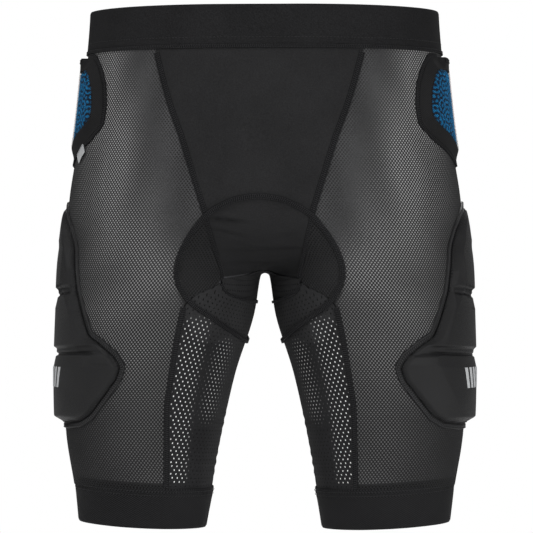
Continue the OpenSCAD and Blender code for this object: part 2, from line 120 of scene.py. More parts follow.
@dataclass(frozen=True)
class BodySurface:
    """The smooth surface that every panel lies on: field() is zero on it. Sizes in millimetres.

    The stations are a fixed step apart, down from the waist.
    """

    station: float = 60.0
    torso_half: tuple = (172, 177, 183, 190.5, 191, 186, 180, 180, 180, 180)
    torso_front: tuple = (106, 112, 115, 113, 104, 98, 98, 98, 98, 98)
    torso_back: tuple = (110, 117, 127, 134, 130, 124, 124, 124, 124, 124)
    leg_outer: tuple = (150.5, 155.5, 165.5, 182, 196, 198.5, 199.5, 197, 187.5, 181.5)
    leg_inner: tuple = (-60, -55, -45, -28, 0.5, 11, 29.5, 43, 53, 57)
    leg_depth: tuple = (95, 97, 100, 103, 105, 98, 88.5, 78.5, 67.5, 61.5)
    leg_mid_y: tuple = (0, 4, 8, 12, 12, 7, 1, -4, -7, -8)
    axis_x: tuple = (60, 62, 66, 74, 92, 104, 114.5, 120, 120.5, 119.5)
    axis_y: float = 4.0
    squareness: float = 2.25
    dome: tuple = (-165.0, -252.0)
    torso_scale: float = 110.0
    hip_blend: float = 26.0
    leg_blend: float = 16.0

    def at(self, values: tuple, z: Array) -> Array:
        """Runs a smooth curve through the station values and reads it at heights z."""
        t = np.clip(-np.asarray(z, float) / self.station, 0.0, len(values) - 1.001)
        return curve_at(np.asarray(values, float), t)

    def _torso(self, p: Array) -> Array:
        """Height over the hips and waist alone."""
        x, y, z = p[..., 0], p[..., 1], p[..., 2]
        wide = self.at(self.torso_half, z)
        deep = np.where(y < 0, self.at(self.torso_front, z), self.at(self.torso_back, z))
        top, bottom = self.dome
        t = np.clip((top - z) / (top - bottom), 0.0, 1.3)
        n = self.squareness
        rho = (np.abs(x / wide) ** n + np.abs(y / deep) ** n) ** (1.0 / n)
        return (np.sqrt(rho**2 + t**4) - 1.0) * self.torso_scale

    def _leg(self, p: Array, side: int) -> Array:
        """Height over one leg alone; side is the sign of X."""
        x, y, z = p[..., 0], p[..., 1], p[..., 2]
        low, high = self.at(self.leg_inner, z), self.at(self.leg_outer, z)
        half, deep = (high - low) / 2, self.at(self.leg_depth, z)
        dx = (side * x - (low + high) / 2) / half
        dy = (y - self.at(self.leg_mid_y, z)) / deep
        return (np.sqrt(dx**2 + dy**2) - 1.0) * np.minimum(half, deep)

    def field(self, p: Array) -> Array:
        """Height over the surface, near it."""
        legs = soft_min(self._leg(p, 1), self._leg(p, -1), self.leg_blend)
        return soft_min(legs, self._torso(p), self.hip_blend)

    def slope(self, p: Array, step: float = 0.4) -> Array:
        """The field's gradient."""
        f = self.field(p)
        return np.stack([self.field(p + step * e) - f for e in np.eye(3)], -1) / step

    def normal(self, p: Array) -> Array:
        """The outward normal."""
        return unit(self.slope(p))

    def ray(self, origin: Array, direction: Array, reach: float) -> Array:
        """Finds the surface along rays.

        Args:
            origin: The rays' starts.
            direction: Their unit directions.
            reach: A first guess of the distance.

        Returns:
            The points where the rays leave the body.
        """
        r = np.full(origin.shape[:-1], reach)
        for _ in range(9):
            at = origin + r[..., None] * direction
            f = self.field(at)
            g = 2.0 * (self.field(at + 0.5 * direction) - f)
            r = r - np.clip(f / np.where(np.abs(g) < 1e-6, 1e-6, g), -25.0, 25.0)
        return origin + r[..., None] * direction

    def leg(self, angle: Array, z: Array) -> Array:
        """Points round the left leg's axis: 0 degrees is the outer side, -90 the front."""
        angle, z = np.broadcast_arrays(np.radians(angle), np.asarray(z, float))
        start = np.stack([self.at(self.axis_x, z), np.full(z.shape, self.axis_y), z], -1)
        way = np.stack([np.cos(angle), np.sin(angle), np.zeros(z.shape)], -1)
        return self.ray(start, way, 100.0)

    def face(self, x: Array, z: Array, way: Way) -> Array:
        """Points straight in front of (x, z), or straight behind it."""
        x, z = np.broadcast_arrays(np.asarray(x, float), np.asarray(z, float))
        start = np.stack([x, np.full(z.shape, 20.0), z], -1)
        return self.ray(start, np.array([0.0, way.value, 0.0]) + np.zeros(start.shape), 105.0)

    def loop(self, z: float, count: int) -> Array:
        """A closed row of points round the torso."""
        a = np.arange(count) * math.tau / count
        start = np.stack([np.zeros(count), np.full(count, self.axis_y), np.full(count, z)], -1)
        return self.ray(start, np.stack([np.cos(a), np.sin(a), np.zeros(count)], -1), 150.0)

    def snap(self, p: Array) -> Array:
        """Moves points the nearest way onto the surface."""
        for _ in range(6):
            g = self.slope(p)
            p = p - g * (self.field(p) / np.sum(g * g, -1))[..., None]
        return p


BODY = BodySurface()


@dataclass(frozen=True)
class Pattern:
    """The cutting lines that the pieces share, in millimetres on the left half."""

    panel_top: float = -41.0
    cuff_top: float = -466.0
    tuck: float = 5.0
    cuff_x: float = 120.3
    cuff_lean: float = math.tan(math.radians(3.0))
    gusset_low: float = -288.0
    gusset_top: float = -268.0
    gap: float = 1.2
    front: tuple = (
        (-466, 92), (-386, 90.5), (-331, 82), (-306, 77), (-289, 73), (-279, 62), (-270, 41), (-262, 37),
        (-199, 52), (-126, 74.5), (-99, 84.5), (-72, 92.5), (-42, 100),
    )
    back: tuple = (
        (-466, 92), (-386, 90), (-331, 80), (-306, 74), (-289, 69), (-279, 60), (-270, 43), (-262, 39),
        (-199, 56), (-126, 80), (-99, 90), (-72, 98), (-42, 105),
    )
    seat_front: tuple = ((-187, 22), (-198, 45), (-214, 61), (-234, 74), (-255, 81), (-272, 78))
    seat_back: tuple = (
        (-188, 26), (-194, 48), (-206, 66), (-222, 78), (-242, 84), (-260, 84), (-275, 79),
    )
    seat_top: float = -184.0
    seat_low: float = -326.0
    seat_corner: float = -288.0
    seat_foot: tuple = ((-300, 72), (-330, 60))

    def line_x(self, z: Array, way: Way) -> Array:
        """Distance of a panel seam from the centre line."""
        table = np.array(self.front if way is Way.FRONT else self.back, float)
        heights = np.arange(-470.0, -38.0, 1.0)
        x = np.interp(heights, table[:, 0], table[:, 1])
        kernel = np.hanning(13)
        pad = np.pad(x, 6, mode="edge")
        return np.interp(z, heights, np.convolve(pad, kernel / kernel.sum(), "valid"))

    def line(self, z: Array, way: Way, shift: float = 0.0) -> Array:
        """Points along a panel seam."""
        return BODY.face(self.line_x(z, way) + shift, z, way)

    def line_angle(self, z: Array, way: Way, shift: float) -> Array:
        """A panel seam as an angle round the leg axis, shifted sideways."""
        heights = np.linspace(-470.0, -38.0, 217)
        start = np.stack([self.line_x(heights, way) + shift, np.full(217, BODY.axis_y), heights], -1)
        p = BODY.ray(start, np.array([0.0, way.value, 0.0]) + np.zeros(start.shape), 90.0)
        a = np.degrees(np.arctan2(p[:, 1] - BODY.axis_y, p[:, 0] - BODY.at(BODY.axis_x, heights)))
        return np.interp(z, heights, np.unwrap(a, period=360.0))

    def gusset_edge(self, u: Array) -> Array:
        """Height of the gusset's edge over the inner thigh, from front to back."""
        return self.gusset_low + (self.gusset_top - self.gusset_low) * (2 * u - 1) ** 2

    def inner(self, u: Array, z: Array) -> Array:
        """Points on the inner thigh between the front and back seams."""
        a = self.line_angle(z, Way.FRONT, -self.gap / 2)
        b = self.line_angle(z, Way.BACK, -self.gap / 2) - 360.0
        return BODY.leg(a + (b - a) * u, z)

    def to_cuff(self, p: Array, place: Callable[[Array], Array]) -> Array:
        """Lets the lowest rows of a panel run down to the tilted cuff.

        Args:
            p: Points, whose rows end level at the cuff's height.
            place: Gives the points again for other heights.
        """
        edge = self.cuff_lean * (p[..., 0] - self.cuff_x)
        z = p[..., 2]
        return place(z + edge * smoothstep((z + 400.0) / (self.cuff_top + 400.0)))

    def under_z(self, angle: Array) -> Array:
        """Height of the seat pad's edge under the thigh."""
        t = (np.abs(angle + 180.0) / 68.0) ** 1.8
        return self.seat_low + (self.seat_corner - self.seat_low) * t

    def over_seat(self, p: Array) -> Array:
        """1 where the seat pad lies behind a point of the shell, easing to 0 outside its edge."""
        x, y, z = np.abs(p[..., 0]), p[..., 1], p[..., 2]
        edge = [np.array(t + self.seat_foot, float)[::-1] for t in (self.seat_front, self.seat_back)]
        front, back = (np.interp(z, e[:, 0], e[:, 1]) for e in edge)
        room = np.minimum(np.where(y < 0, front, back) - x, self.seat_top - z)
        return smoothstep(np.minimum(room, z - self.seat_low) / 4.0 + 0.5)


PATTERN = Pattern()


@dataclass(frozen=True)
class Fold:
    """A fold across the front panel: its middle, its lean, and how far and deep it runs."""

    x: float
    z: float
    lean: float
    reach: float
    depth: float

    def height(self, x: Array, z: Array) -> Array:
        """Height of the cloth over the fold: a groove with a ridge above it."""
        across = z - self.z - self.lean * (x - self.x)
        wide = 2.1 + 0.05 * self.reach
        shape = 0.55 * bump_at(across, wide * 1.5, wide) - bump_at(across, 0.0, wide * 0.7)
        return bump_at(x, self.x, self.reach) * self.depth * shape


FOLDS = (
    Fold(-33, -208, -0.13, 17, 3.2), Fold(-30, -221, -0.22, 16, 1.9), Fold(14, -237, 0.04, 26, 2.6),
    Fold(28, -196, 0.3, 14, 0.7), Fold(-6, -250, 0.05, 30, 1.6), Fold(24, -224, 0.2, 16, 0.8),
)


def drape(p: Array) -> Array:
    """Height of the cloth's folds and puckers over the smooth surface, in millimetres."""
    x, y, z = p[..., 0], p[..., 1], p[..., 2]
    front = smoothstep(-y / 20.0)
    fold = sum(each.height(x, z) for each in FOLDS)
    inner = smoothstep((98.0 - np.abs(x)) / 20.0) * smoothstep((-385.0 - z) / 25.0)
    inner *= smoothstep((z + 466.0) / 8.0)
    creases = 0.45 * np.sin(z / 1.55 + 1.3 * np.sin(x / 23.0) + y / 40.0) * (0.6 + 0.4 * np.sin(z / 7.3))
    swell = 0.34 * np.sin(x / 31.0 + z / 47.0 + 0.7) * np.sin(z / 37.0 - y / 29.0 + 1.9)
    swell += 0.2 * np.sin(x / 17.0 - z / 23.0) * np.sin(y / 19.0 + z / 61.0)
    top = smoothstep((z + 60.0) / 18.0)
    return fold * front + creases * inner + swell * (1.0 - top)


# ---------------------------------------------------------------- making pieces


def grown(points: Array, loop: bool) -> Array:
    """Repeats the first column of a grid at its end, where the rows are closed loops."""
    return np.concatenate([points, points[:, :1]], 1) if loop else points


def cloth_map(points: Array, column: Array | float, own_columns: bool = False) -> Array:
    """Lays a grid of points out flat, in metres.

    Args:
        points: The grid.
        column: The column that each row is measured from; it may fall between two columns.
        own_columns: Whether each column is measured down its own length, from the middle row.

    Returns:
        The flat coordinates of each point.
    """
    rows = np.arange(len(points))
    across = np.linalg.norm(np.diff(points, axis=1), axis=-1)
    u = np.concatenate([np.zeros((len(points), 1)), np.cumsum(across, 1)], 1)
    column = np.broadcast_to(np.asarray(column, float), rows.shape)
    low = np.clip(np.floor(column).astype(int), 0, points.shape[1] - 2)
    part = column - low
    zero = u[rows, low] * (1 - part) + u[rows, low + 1] * part
    line = points[rows, low] * (1 - part)[:, None] + points[rows, low + 1] * part[:, None]
    lines = points if own_columns else line[:, None]
    down = np.cumsum(np.linalg.norm(np.diff(lines, axis=0), axis=-1), 0)
    v = np.concatenate([np.zeros((1, down.shape[1])), down])
    v = v - v[len(v) // 2] if own_columns else v
    return np.stack([u - zero[:, None], np.broadcast_to(-v, u.shape)], -1) * MM


def turned_out(mesh: bpy.types.Mesh) -> None:
    """Turns a closed mesh's faces outwards if they point in."""
    mesh.calc_loop_triangles()
    tri = np.empty(len(mesh.loop_triangles) * 3, np.int32)
    mesh.loop_triangles.foreach_get("vertices", tri)
    co = np.empty(len(mesh.vertices) * 3, np.float32)
    mesh.vertices.foreach_get("co", co)
    a, b, c = co.reshape(-1, 3).astype(float)[tri.reshape(-1, 3)].transpose(1, 0, 2)
    if np.sum(a * np.cross(b, c)) < 0:
        mesh.flip_normals()


def finished(name: str, mesh: bpy.types.Mesh, crease: float = 50.0) -> bpy.types.Object:
    """Links a mesh as a smooth-shaded piece with creases where it turns sharply."""
    mesh.shade_smooth()
    mesh.set_sharp_from_angle(angle=math.radians(crease))
    piece = bpy.data.objects.new(name, mesh)
    bpy.context.scene.collection.objects.link(piece)
    return piece


def slab(
    name: str,
    points: Array,
    low: Array | float,
    high: Array | float,
    loop: bool = False,
    normals: Array | None = None,
    column: Array | float | None = None,
    own_columns: bool = False,
    paint: dict | None = None,
    crease: float = 50.0,
) -> bpy.types.Object:
    """Makes a closed piece between two offsets of a grid of surface points.

    Args:
        name: The piece's name.
        points: Grid of points, rows by columns, in millimetres.
        low: Height of the inner face over the points.
        high: Height of the outer face.
        loop: Whether the rows are closed loops.
        normals: Directions of the offsets, or None for the body's own.
        column: The column that the cloth map is laid out from.
        own_columns: Whether the cloth map measures each column down its own length.
        paint: Named masks, one value for each point of the grid.
        crease: Angle in degrees past which an edge shows.

    Returns:
        The new object.
    """
    normals = BODY.normal(points) if normals is None else normals
    low, high = (np.broadcast_to(np.asarray(h, float), points.shape[:2])[..., None] for h in (low, high))
    layers = [grown(points + h * normals, loop) for h in (low, high)]
    rows, cols = layers[0].shape[0] - 1, layers[0].shape[1] - 1
    bm = bmesh.new()
    bmesh.ops.create_grid(bm, x_segments=cols, y_segments=rows, size=0.5)
    raised = bmesh.ops.extrude_face_region(bm, geom=bm.faces[:], use_keep_orig=True)["geom"]
    raised = [g for g in raised if isinstance(g, bmesh.types.BMVert)]
    bmesh.ops.translate(bm, verts=raised, vec=(0, 0, 1))
    if loop:
        ends = [f for f in bm.faces if abs(f.calc_center_median().x) > 0.4999]
        bmesh.ops.delete(bm, geom=ends, context="FACES")
    bmesh.ops.recalc_face_normals(bm, faces=bm.faces)
    mesh = bpy.data.meshes.new(name)
    bm.to_mesh(mesh)
    bm.free()
    co = np.empty(len(mesh.vertices) * 3, np.float32)
    mesh.vertices.foreach_get("co", co)
    co = co.reshape(-1, 3)
    j = np.rint((co[:, 0] + 0.5) * cols).astype(int)
    i = np.rint((co[:, 1] + 0.5) * rows).astype(int)
    upper = co[:, 2] > 0.5
    placed = np.where(upper[:, None], layers[1][i, j], layers[0][i, j]) * MM
    mesh.vertices.foreach_set("co", placed.astype(np.float32).ravel())
    flat = cloth_map(layers[1], cols / 2 if column is None else column, own_columns)
    corner = np.empty(len(mesh.loops), np.int32)
    mesh.loops.foreach_get("vertex_index", corner)
    layer = mesh.uv_layers.new(name="cloth")
    layer.data.foreach_set("uv", flat[i, j][corner].astype(np.float32).ravel())
    for key, mask in (paint or {}).items():
        values = mesh.attributes.new(key, "FLOAT", "POINT")
        values.data.foreach_set("value", grown(mask, loop)[i, j].astype(np.float32))
    if loop:
        bm = bmesh.new()
        bm.from_mesh(mesh)
        bmesh.ops.remove_doubles(bm, verts=bm.verts, dist=1e-7)
        bm.to_mesh(mesh)
        bm.free()
    turned_out(mesh)
    return finished(name, mesh, crease)


def walk(path: Array, pitch: float, loop: bool = False) -> Array:
    """Points a fixed pitch apart along a path."""
    path = np.concatenate([path, path[:1]]) if loop else path
    run = np.concatenate([[0.0], np.cumsum(np.linalg.norm(np.diff(path, axis=0), axis=-1))])
    count = max(2, int(round(run[-1] / pitch)))
    at = np.linspace(0.0, run[-1], count + 1)
    at = at[:-1] if loop else at
    return np.stack([np.interp(at, run, path[:, k]) for k in range(3)], -1)


def along(path: Array, loop: bool) -> Array:
    """Unit directions along a path."""
    ahead = np.roll(path, -1, 0) - np.roll(path, 1, 0)
    if not loop:
        ahead[0], ahead[-1] = path[1] - path[0], path[-1] - path[-2]
    return unit(ahead)


class Thread:
    """Stitches of one thread: a bead for each, scattered over the cloth in one mesh."""

    def __init__(self, name: str) -> None:
        """Starts with no stitches."""
        self.name = name
        self.beads: list[Array] = []

    def row(
        self,
        path: Array,
        pitch: float,
        length: float,
        thick: float = 0.55,
        lift: float = 1.2,
        aside: float = 0.0,
        slant: float = 0.0,
        loop: bool = False,
        normals: Normals | None = None,
    ) -> None:
        """Adds a row of stitches along a path on the body.

        Args:
            path: Points on the surface.
            pitch: Distance between stitches.
            length: Length of a stitch.
            thick: Thickness of the thread.
            lift: Height of its middle over the surface.
            aside: Shift to the path's side.
            slant: Turn of each stitch from the path's direction, in degrees.
            loop: Whether the path is closed.
            normals: Gives the normals at points, or None for the body's own.
        """
        path = walk(path, pitch, loop)
        up = (normals or BODY.normal)(path)
        ahead = along(path, loop)
        side = unit(np.cross(up, ahead))
        turn = math.radians(slant)
        way = ahead * math.cos(turn) + side * math.sin(turn)
        rim = np.cross(up, way)
        centre = path + side * aside + up * lift
        self.beads.append(np.stack([way * length / 2, rim * thick / 2, up * thick / 2, centre], 1))

    def make(self, side: Side = Side.LEFT) -> bpy.types.Object:
        """Makes the stitches' mesh from one bead.

        Args:
            side: The side of the wearer that the stitches are on.

        Returns:
            The new object.
        """
        bm = bmesh.new()
        bmesh.ops.create_uvsphere(bm, u_segments=5, v_segments=4, radius=1.0)
        bmesh.ops.rotate(bm, verts=bm.verts, matrix=Matrix.Rotation(math.pi / 2, 3, "Y"))
        bm.verts.index_update()
        shape = np.array([v.co for v in bm.verts])
        faces = [[v.index for v in f.verts] for f in bm.faces]
        bm.free()
        frames = np.concatenate(self.beads)
        placed = np.einsum("vk,nkc->nvc", np.c_[shape, np.ones(len(shape))], frames).reshape(-1, 3)
        starts = range(0, len(placed), len(shape))
        corners = [[v + first for v in face] for first in starts for face in faces]
        mesh = bpy.data.meshes.new(self.name)
        mesh.from_pydata(side.turn(placed) * MM, [], corners)
        mesh.update()
        turned_out(mesh)
        return finished(self.name, mesh, 80.0)


def band(
    name: str,
    path: Array,
    wide: Array | float,
    heights: tuple,
    loop: bool = False,
    side: Side = Side.LEFT,
    foot: float = 0.2,
) -> bpy.types.Object:
    """Makes a flat strip along a path on the body.

    Args:
        name: The strip's name.
        path: Points on the surface, on the left.
        wide: Width of the strip, or its width at each point.
        heights: Heights of its outer face, from one edge to the other.
        loop: Whether the path is closed.
        side: The side of the wearer that it is on.
        foot: Height of its inner face.

    Returns:
        The new object.
    """
    up = BODY.normal(path)
    aside = unit(np.cross(up, along(path, loop))) * np.reshape(wide, (-1, 1))
    t = np.linspace(-0.5, 0.5, len(heights))
    points = path[None] + t[:, None, None] * aside[None]
    lift = np.broadcast_to(np.array(heights)[:, None], points.shape[:2])
    up = np.broadcast_to(up[None], points.shape)
    return slab(name, side.turn(points), foot, lift, loop, normals=side.turn(up), column=0, crease=60.0)


# ---------------------------------------------------------------- finishes


class Nodes:
    """Adds nodes to one material or group, and links them."""

    def __init__(self, tree: bpy.types.NodeTree) -> None:
        """Works on a node tree."""
        self.tree = tree

    def add(self, kind: str, inputs: dict | None = None, **settings: object) -> bpy.types.Node:
        """Adds a node, sets it and fills its sockets with numbers or links."""
        node = self.tree.nodes.new("ShaderNode" + kind)
        for key, value in settings.items():
            setattr(node, key, value)
        for key, value in (inputs or {}).items():
            if isinstance(value, Socket):
                self.tree.links.new(value, node.inputs[key])
            else:
                node.inputs[key].default_value = value
        return node

    def math(self, operation: str, *values: Value) -> Socket:
        """Adds a Math node and gives its result."""
        return self.add("Math", dict(enumerate(values)), operation=operation).outputs[0]

    def span(
        self, value: Value, low: Value, high: Value, to_low: float = 0.0, to_high: float = 1.0
    ) -> Socket:
        """Maps a value smoothly from one range to another."""
        ends = {"Value": value, "From Min": low, "From Max": high, "To Min": to_low, "To Max": to_high}
        return self.add("MapRange", ends, interpolation_type="SMOOTHSTEP").outputs["Result"]

    def blend(self, share: Value, a: tuple, b: Colour) -> Socket:
        """Mixes two colours; a plain colour has three numbers."""
        ends = {6: a, 7: b}
        ends = {key: c if isinstance(c, Socket) else (*c, 1.0) for key, c in ends.items()}
        return self.add("Mix", {0: share, **ends}, data_type="RGBA").outputs[2]

    def tinted(self, colour: Colour, tone: Socket) -> Socket:
        """Scales a colour by a tone."""
        return self.add("VectorMath", {0: colour, "Scale": tone}, operation="SCALE").outputs[0]


def group(name: str, inputs: dict, outputs: dict, build: Callable[..., dict]) -> bpy.types.NodeTree:
    """Makes a shared shader group once.

    Args:
        name: The group's name.
        inputs: Each input's kind and default.
        outputs: Each output's kind.
        build: Fills the group, given its nodes and its inputs, and returns its outputs' sockets.

    Returns:
        The group's node tree.
    """
    if name in bpy.data.node_groups:
        return bpy.data.node_groups[name]
    tree = bpy.data.node_groups.new(name, "ShaderNodeTree")
    for key, (kind, default) in inputs.items():
        socket = tree.interface.new_socket(name=key, in_out="INPUT", socket_type="NodeSocket" + kind)
        if default is not None:
            socket.default_value = default
    for key, kind in outputs.items():
        tree.interface.new_socket(name=key, in_out="OUTPUT", socket_type="NodeSocket" + kind)
    nodes = Nodes(tree)
    source = tree.nodes.new("NodeGroupInput")
    sink = tree.nodes.new("NodeGroupOutput")
    for key, socket in build(nodes, source.outputs).items():
        tree.links.new(socket, sink.inputs[key])
    return tree


def staggered_dots() -> bpy.types.NodeTree:
    """Dots in staggered rows, as knit mesh and perforated cloth have their holes."""

    def build(nodes: Nodes, given: bpy.types.bpy_prop_collection) -> dict:
        """Squared distance to the nearer of two square lattices, turned into round dots."""
        place = nodes.add("SeparateXYZ", {0: given["Cloth"]})
        nearest = []
        for shift in (0.0, 0.5):
            parts = []
            for axis, pitch in (("X", "Pitch across"), ("Y", "Pitch down")):
                size = nodes.math("MULTIPLY", given[pitch], MM)
                turn = nodes.math("ADD", nodes.math("DIVIDE", place.outputs[axis], size), shift)
                off = nodes.math("SUBTRACT", nodes.math("FRACT", turn), 0.5)
                parts.append(nodes.math("MULTIPLY", off, given[pitch]))
            squares = [nodes.math("POWER", nodes.math("ABSOLUTE", part), 2.0) for part in parts]
            tall = nodes.math("DIVIDE", squares[1], nodes.math("POWER", given["Tall"], 2.0))
            nearest.append(nodes.math("SQRT", nodes.math("ADD", squares[0], tall)))
        away = nodes.math("MINIMUM", *nearest)
        inner = nodes.math("SUBTRACT", given["Radius"], given["Edge"])
        outer = nodes.math("ADD", given["Radius"], given["Edge"])
        return {"Dot": nodes.span(away, inner, outer, 1.0, 0.0)}

    inputs = {
        "Cloth": ("Vector", None), "Pitch across": ("Float", 3.33), "Pitch down": ("Float", 4.0),
        "Radius": ("Float", 0.8), "Edge": ("Float", 0.3), "Tall": ("Float", 1.0),
    }
    return group("Staggered dots", inputs, {"Dot": "Float"}, build)


def knit_loops() -> bpy.types.NodeTree:
    """Fine knit: columns of small V loops, as a height and a shade."""

    def build(nodes: Nodes, given: bpy.types.bpy_prop_collection) -> dict:
        """Columns of loops that zigzag with the courses."""
        place = nodes.add("SeparateXYZ", {0: given["Cloth"]})
        turns = []
        for axis in ("X", "Y"):
            size = nodes.math("MULTIPLY", given["Gauge"], MM)
            turns.append(nodes.math("MULTIPLY", nodes.math("DIVIDE", place.outputs[axis], size), math.tau))
        column = nodes.math("ABSOLUTE", nodes.math("SINE", nodes.math("MULTIPLY", turns[0], 0.5)))
        course = nodes.math("SINE", nodes.math("ADD", turns[1], nodes.math("MULTIPLY", column, 2.2)))
        height = nodes.math("MULTIPLY", column, nodes.math("ADD", nodes.math("MULTIPLY", course, 0.35), 0.65))
        return {"Height": height}

    inputs = {"Cloth": ("Vector", None), "Gauge": ("Float", 1.0)}
    return group("Knit loops", inputs, {"Height": "Float"}, build)


def twill() -> bpy.types.NodeTree:
    """Slanted ribs, as woven elastic has them."""

    def build(nodes: Nodes, given: bpy.types.bpy_prop_collection) -> dict:
        """Ribs across a slanted distance."""
        place = nodes.add("SeparateXYZ", {0: given["Cloth"]})
        lean = nodes.math("MULTIPLY", place.outputs["Y"], given["Slope"])
        size = nodes.math("MULTIPLY", given["Pitch"], MM)
        turn = nodes.math("DIVIDE", nodes.math("ADD", place.outputs["X"], lean), size)
        rib = nodes.math("ABSOLUTE", nodes.math("SINE", nodes.math("MULTIPLY", turn, math.pi)))
        return {"Height": rib}

    inputs = {"Cloth": ("Vector", None), "Pitch": ("Float", 1.6), "Slope": ("Float", 1.0)}
    return group("Twill ribs", inputs, {"Height": "Float"}, build)


def worn_cloth() -> bpy.types.NodeTree:
    """Soft, uneven tone of cloth: broad patches and fine fibre."""

    def build(nodes: Nodes, given: bpy.types.bpy_prop_collection) -> dict:
        """Broad and fine noise, added to 1."""
        broad = nodes.add("TexNoise", {"Vector": given["Place"], "Scale": 22.0, "Detail": 2.0})
        fine = nodes.add("TexNoise", {"Vector": given["Place"], "Scale": 900.0, "Detail": 2.0})
        tone = nodes.math("MULTIPLY", nodes.span(broad.outputs["Fac"], 0.3, 0.7, -1.0, 1.0), given["Patches"])
        grain = nodes.math("MULTIPLY", nodes.span(fine.outputs["Fac"], 0.25, 0.75, -1.0, 1.0), given["Fibre"])
        return {"Tone": nodes.math("ADD", nodes.math("ADD", tone, grain), 1.0)}

    inputs = {"Place": ("Vector", None), "Patches": ("Float", 0.08), "Fibre": ("Float", 0.2)}
    return group("Worn cloth", inputs, {"Tone": "Float"}, build)


@dataclass(frozen=True)
class Finish:
    """A cloth or foam finish: its colour, gloss and slot. Colours are linear."""

    name: str
    slot: str
    colour: tuple
    roughness: float = 0.85
    specular: float = 0.25
    sheen: float = 0.0
    patches: float = 0.08
    fibre: float = 0.2

    def material(self) -> bpy.types.Material:
        """Makes the material, once."""
        if self.name in bpy.data.materials:
            return bpy.data.materials[self.name]
        material = bpy.data.materials.new(self.name)
        material.use_nodes = True
        nodes = Nodes(material.node_tree)
        shader = material.node_tree.nodes["Principled BSDF"]
        shader.inputs["Specular IOR Level"].default_value = self.specular
        shader.inputs["Sheen Weight"].default_value = self.sheen
        shader.inputs["Sheen Roughness"].default_value = 0.5
        shader.inputs["Roughness"].default_value = self.roughness
        place = nodes.add("TexCoord").outputs["Object"]
        cloth = nodes.add("UVMap", uv_map="cloth").outputs["UV"]
        self.weave(nodes, shader, place, cloth)
        return material

    def tone(self, nodes: Nodes, place: Socket) -> Socket:
        """The uneven tone of the cloth at a place."""
        values = {"Place": place, "Patches": self.patches, "Fibre": self.fibre}
        return nodes.add("Group", values, node_tree=worn_cloth()).outputs["Tone"]

    def coat(self, nodes: Nodes, shader: Shader, colour: Socket, height: Socket, depth: float) -> None:
        """Gives the shader its colour, and shading from a height that is up to depth millimetres."""
        bump = nodes.add("Bump", {"Height": height, "Distance": depth * MM, "Strength": 1.0})
        nodes.tree.links.new(colour, shader.inputs["Base Color"])
        nodes.tree.links.new(bump.outputs["Normal"], shader.inputs["Normal"])

    def weave(self, nodes: Nodes, shader: Shader, place: Socket, cloth: Socket) -> None:
        """Plain cloth: an even tone with a fine grain."""
        tone = self.tone(nodes, place)
        self.coat(nodes, shader, nodes.tinted(self.colour, tone), tone, 0.15)

    def dress(self, piece: bpy.types.Object) -> bpy.types.Object:
        """Gives a piece this finish."""
        piece.data.materials.clear()
        piece.data.materials.append(self.material())
        return piece


@dataclass(frozen=True)
class Knit(Finish):
    """Smooth stretch knit."""

    gauge: float = 0.9

    def weave(self, nodes: Nodes, shader: Shader, place: Socket, cloth: Socket) -> None:
        """Fine loops with an uneven tone and painted shade between them."""
        values = {"Cloth": cloth, "Gauge": self.gauge}
        height = nodes.add("Group", values, node_tree=knit_loops()).outputs["Height"]
        # Painted shade and highlight: the colour is darker in the hollows between the loops and lighter on
        # them.
        tone = nodes.math("MULTIPLY", self.tone(nodes, place), nodes.span(height, 0.0, 1.0, 0.82, 1.12))
        self.coat(nodes, shader, nodes.tinted(self.colour, tone), height, 0.12)


@dataclass(frozen=True)
class Ribbed(Finish):
    """Woven elastic with slanted ribs."""

    pitch: float = 1.7
    slope: float = 1.0
    contrast: float = 0.2

    def weave(self, nodes: Nodes, shader: Shader, place: Socket, cloth: Socket) -> None:
        """Ribs with an uneven tone, painted shade in their grooves and a painted highlight on their tops."""
        values = {"Cloth": cloth, "Pitch": self.pitch, "Slope": self.slope}
        height = nodes.add("Group", values, node_tree=twill()).outputs["Height"]
        # Painted shade and highlight: darker in the ribs' grooves, lighter on their tops, by contrast.
        shade = nodes.span(height, 0.0, 1.0, 1.0 - self.contrast, 1.0 + self.contrast)
        tone = nodes.math("MULTIPLY", self.tone(nodes, place), shade)
        self.coat(nodes, shader, nodes.tinted(self.colour, tone), height, 0.2)


@dataclass(frozen=True)
class Holed(Finish):
    """Cloth with staggered holes: painted light shows in the holes where the mask light is high and painted
    shade where it is 0, and a second mask paints a sheen that lightens the yarn.
    """

    # Colours of the painted light and of the painted shade in the holes.
    through: tuple = (0.3, 0.3, 0.3)
    dark: tuple = (0.004, 0.004, 0.004)
    # Colour of the painted sheen on the yarn.
    haze: tuple = (0.06, 0.06, 0.062)
    pitch: tuple = (3.33, 4.0)
    radius: float = 0.82
    edge: float = 0.3
    tall: float = 1.0

    def weave(self, nodes: Nodes, shader: Shader, place: Socket, cloth: Socket) -> None:
        """Cloth between the holes with its painted sheen, and the painted light or painted shade in them."""
        values = {"Cloth": cloth, "Pitch across": self.pitch[0], "Pitch down": self.pitch[1],
                  "Radius": self.radius, "Edge": self.edge, "Tall": self.tall}
        dot = nodes.add("Group", values, node_tree=staggered_dots()).outputs["Dot"]
        light = nodes.add("Attribute", attribute_name="light").outputs["Fac"]
        # The mask of painted sheen on the yarn.
        haze = nodes.add("Attribute", attribute_name="haze").outputs["Fac"]
        tone = self.tone(nodes, place)
        yarn = nodes.tinted(nodes.blend(haze, self.colour, self.haze), tone)
        # Painted light in the holes where the mask light is high, painted shade where it is 0.
        seen = nodes.blend(light, self.dark, self.through)
        self.coat(nodes, shader, nodes.blend(dot, yarn, seen), nodes.math("SUBTRACT", 1.0, dot), 0.35)


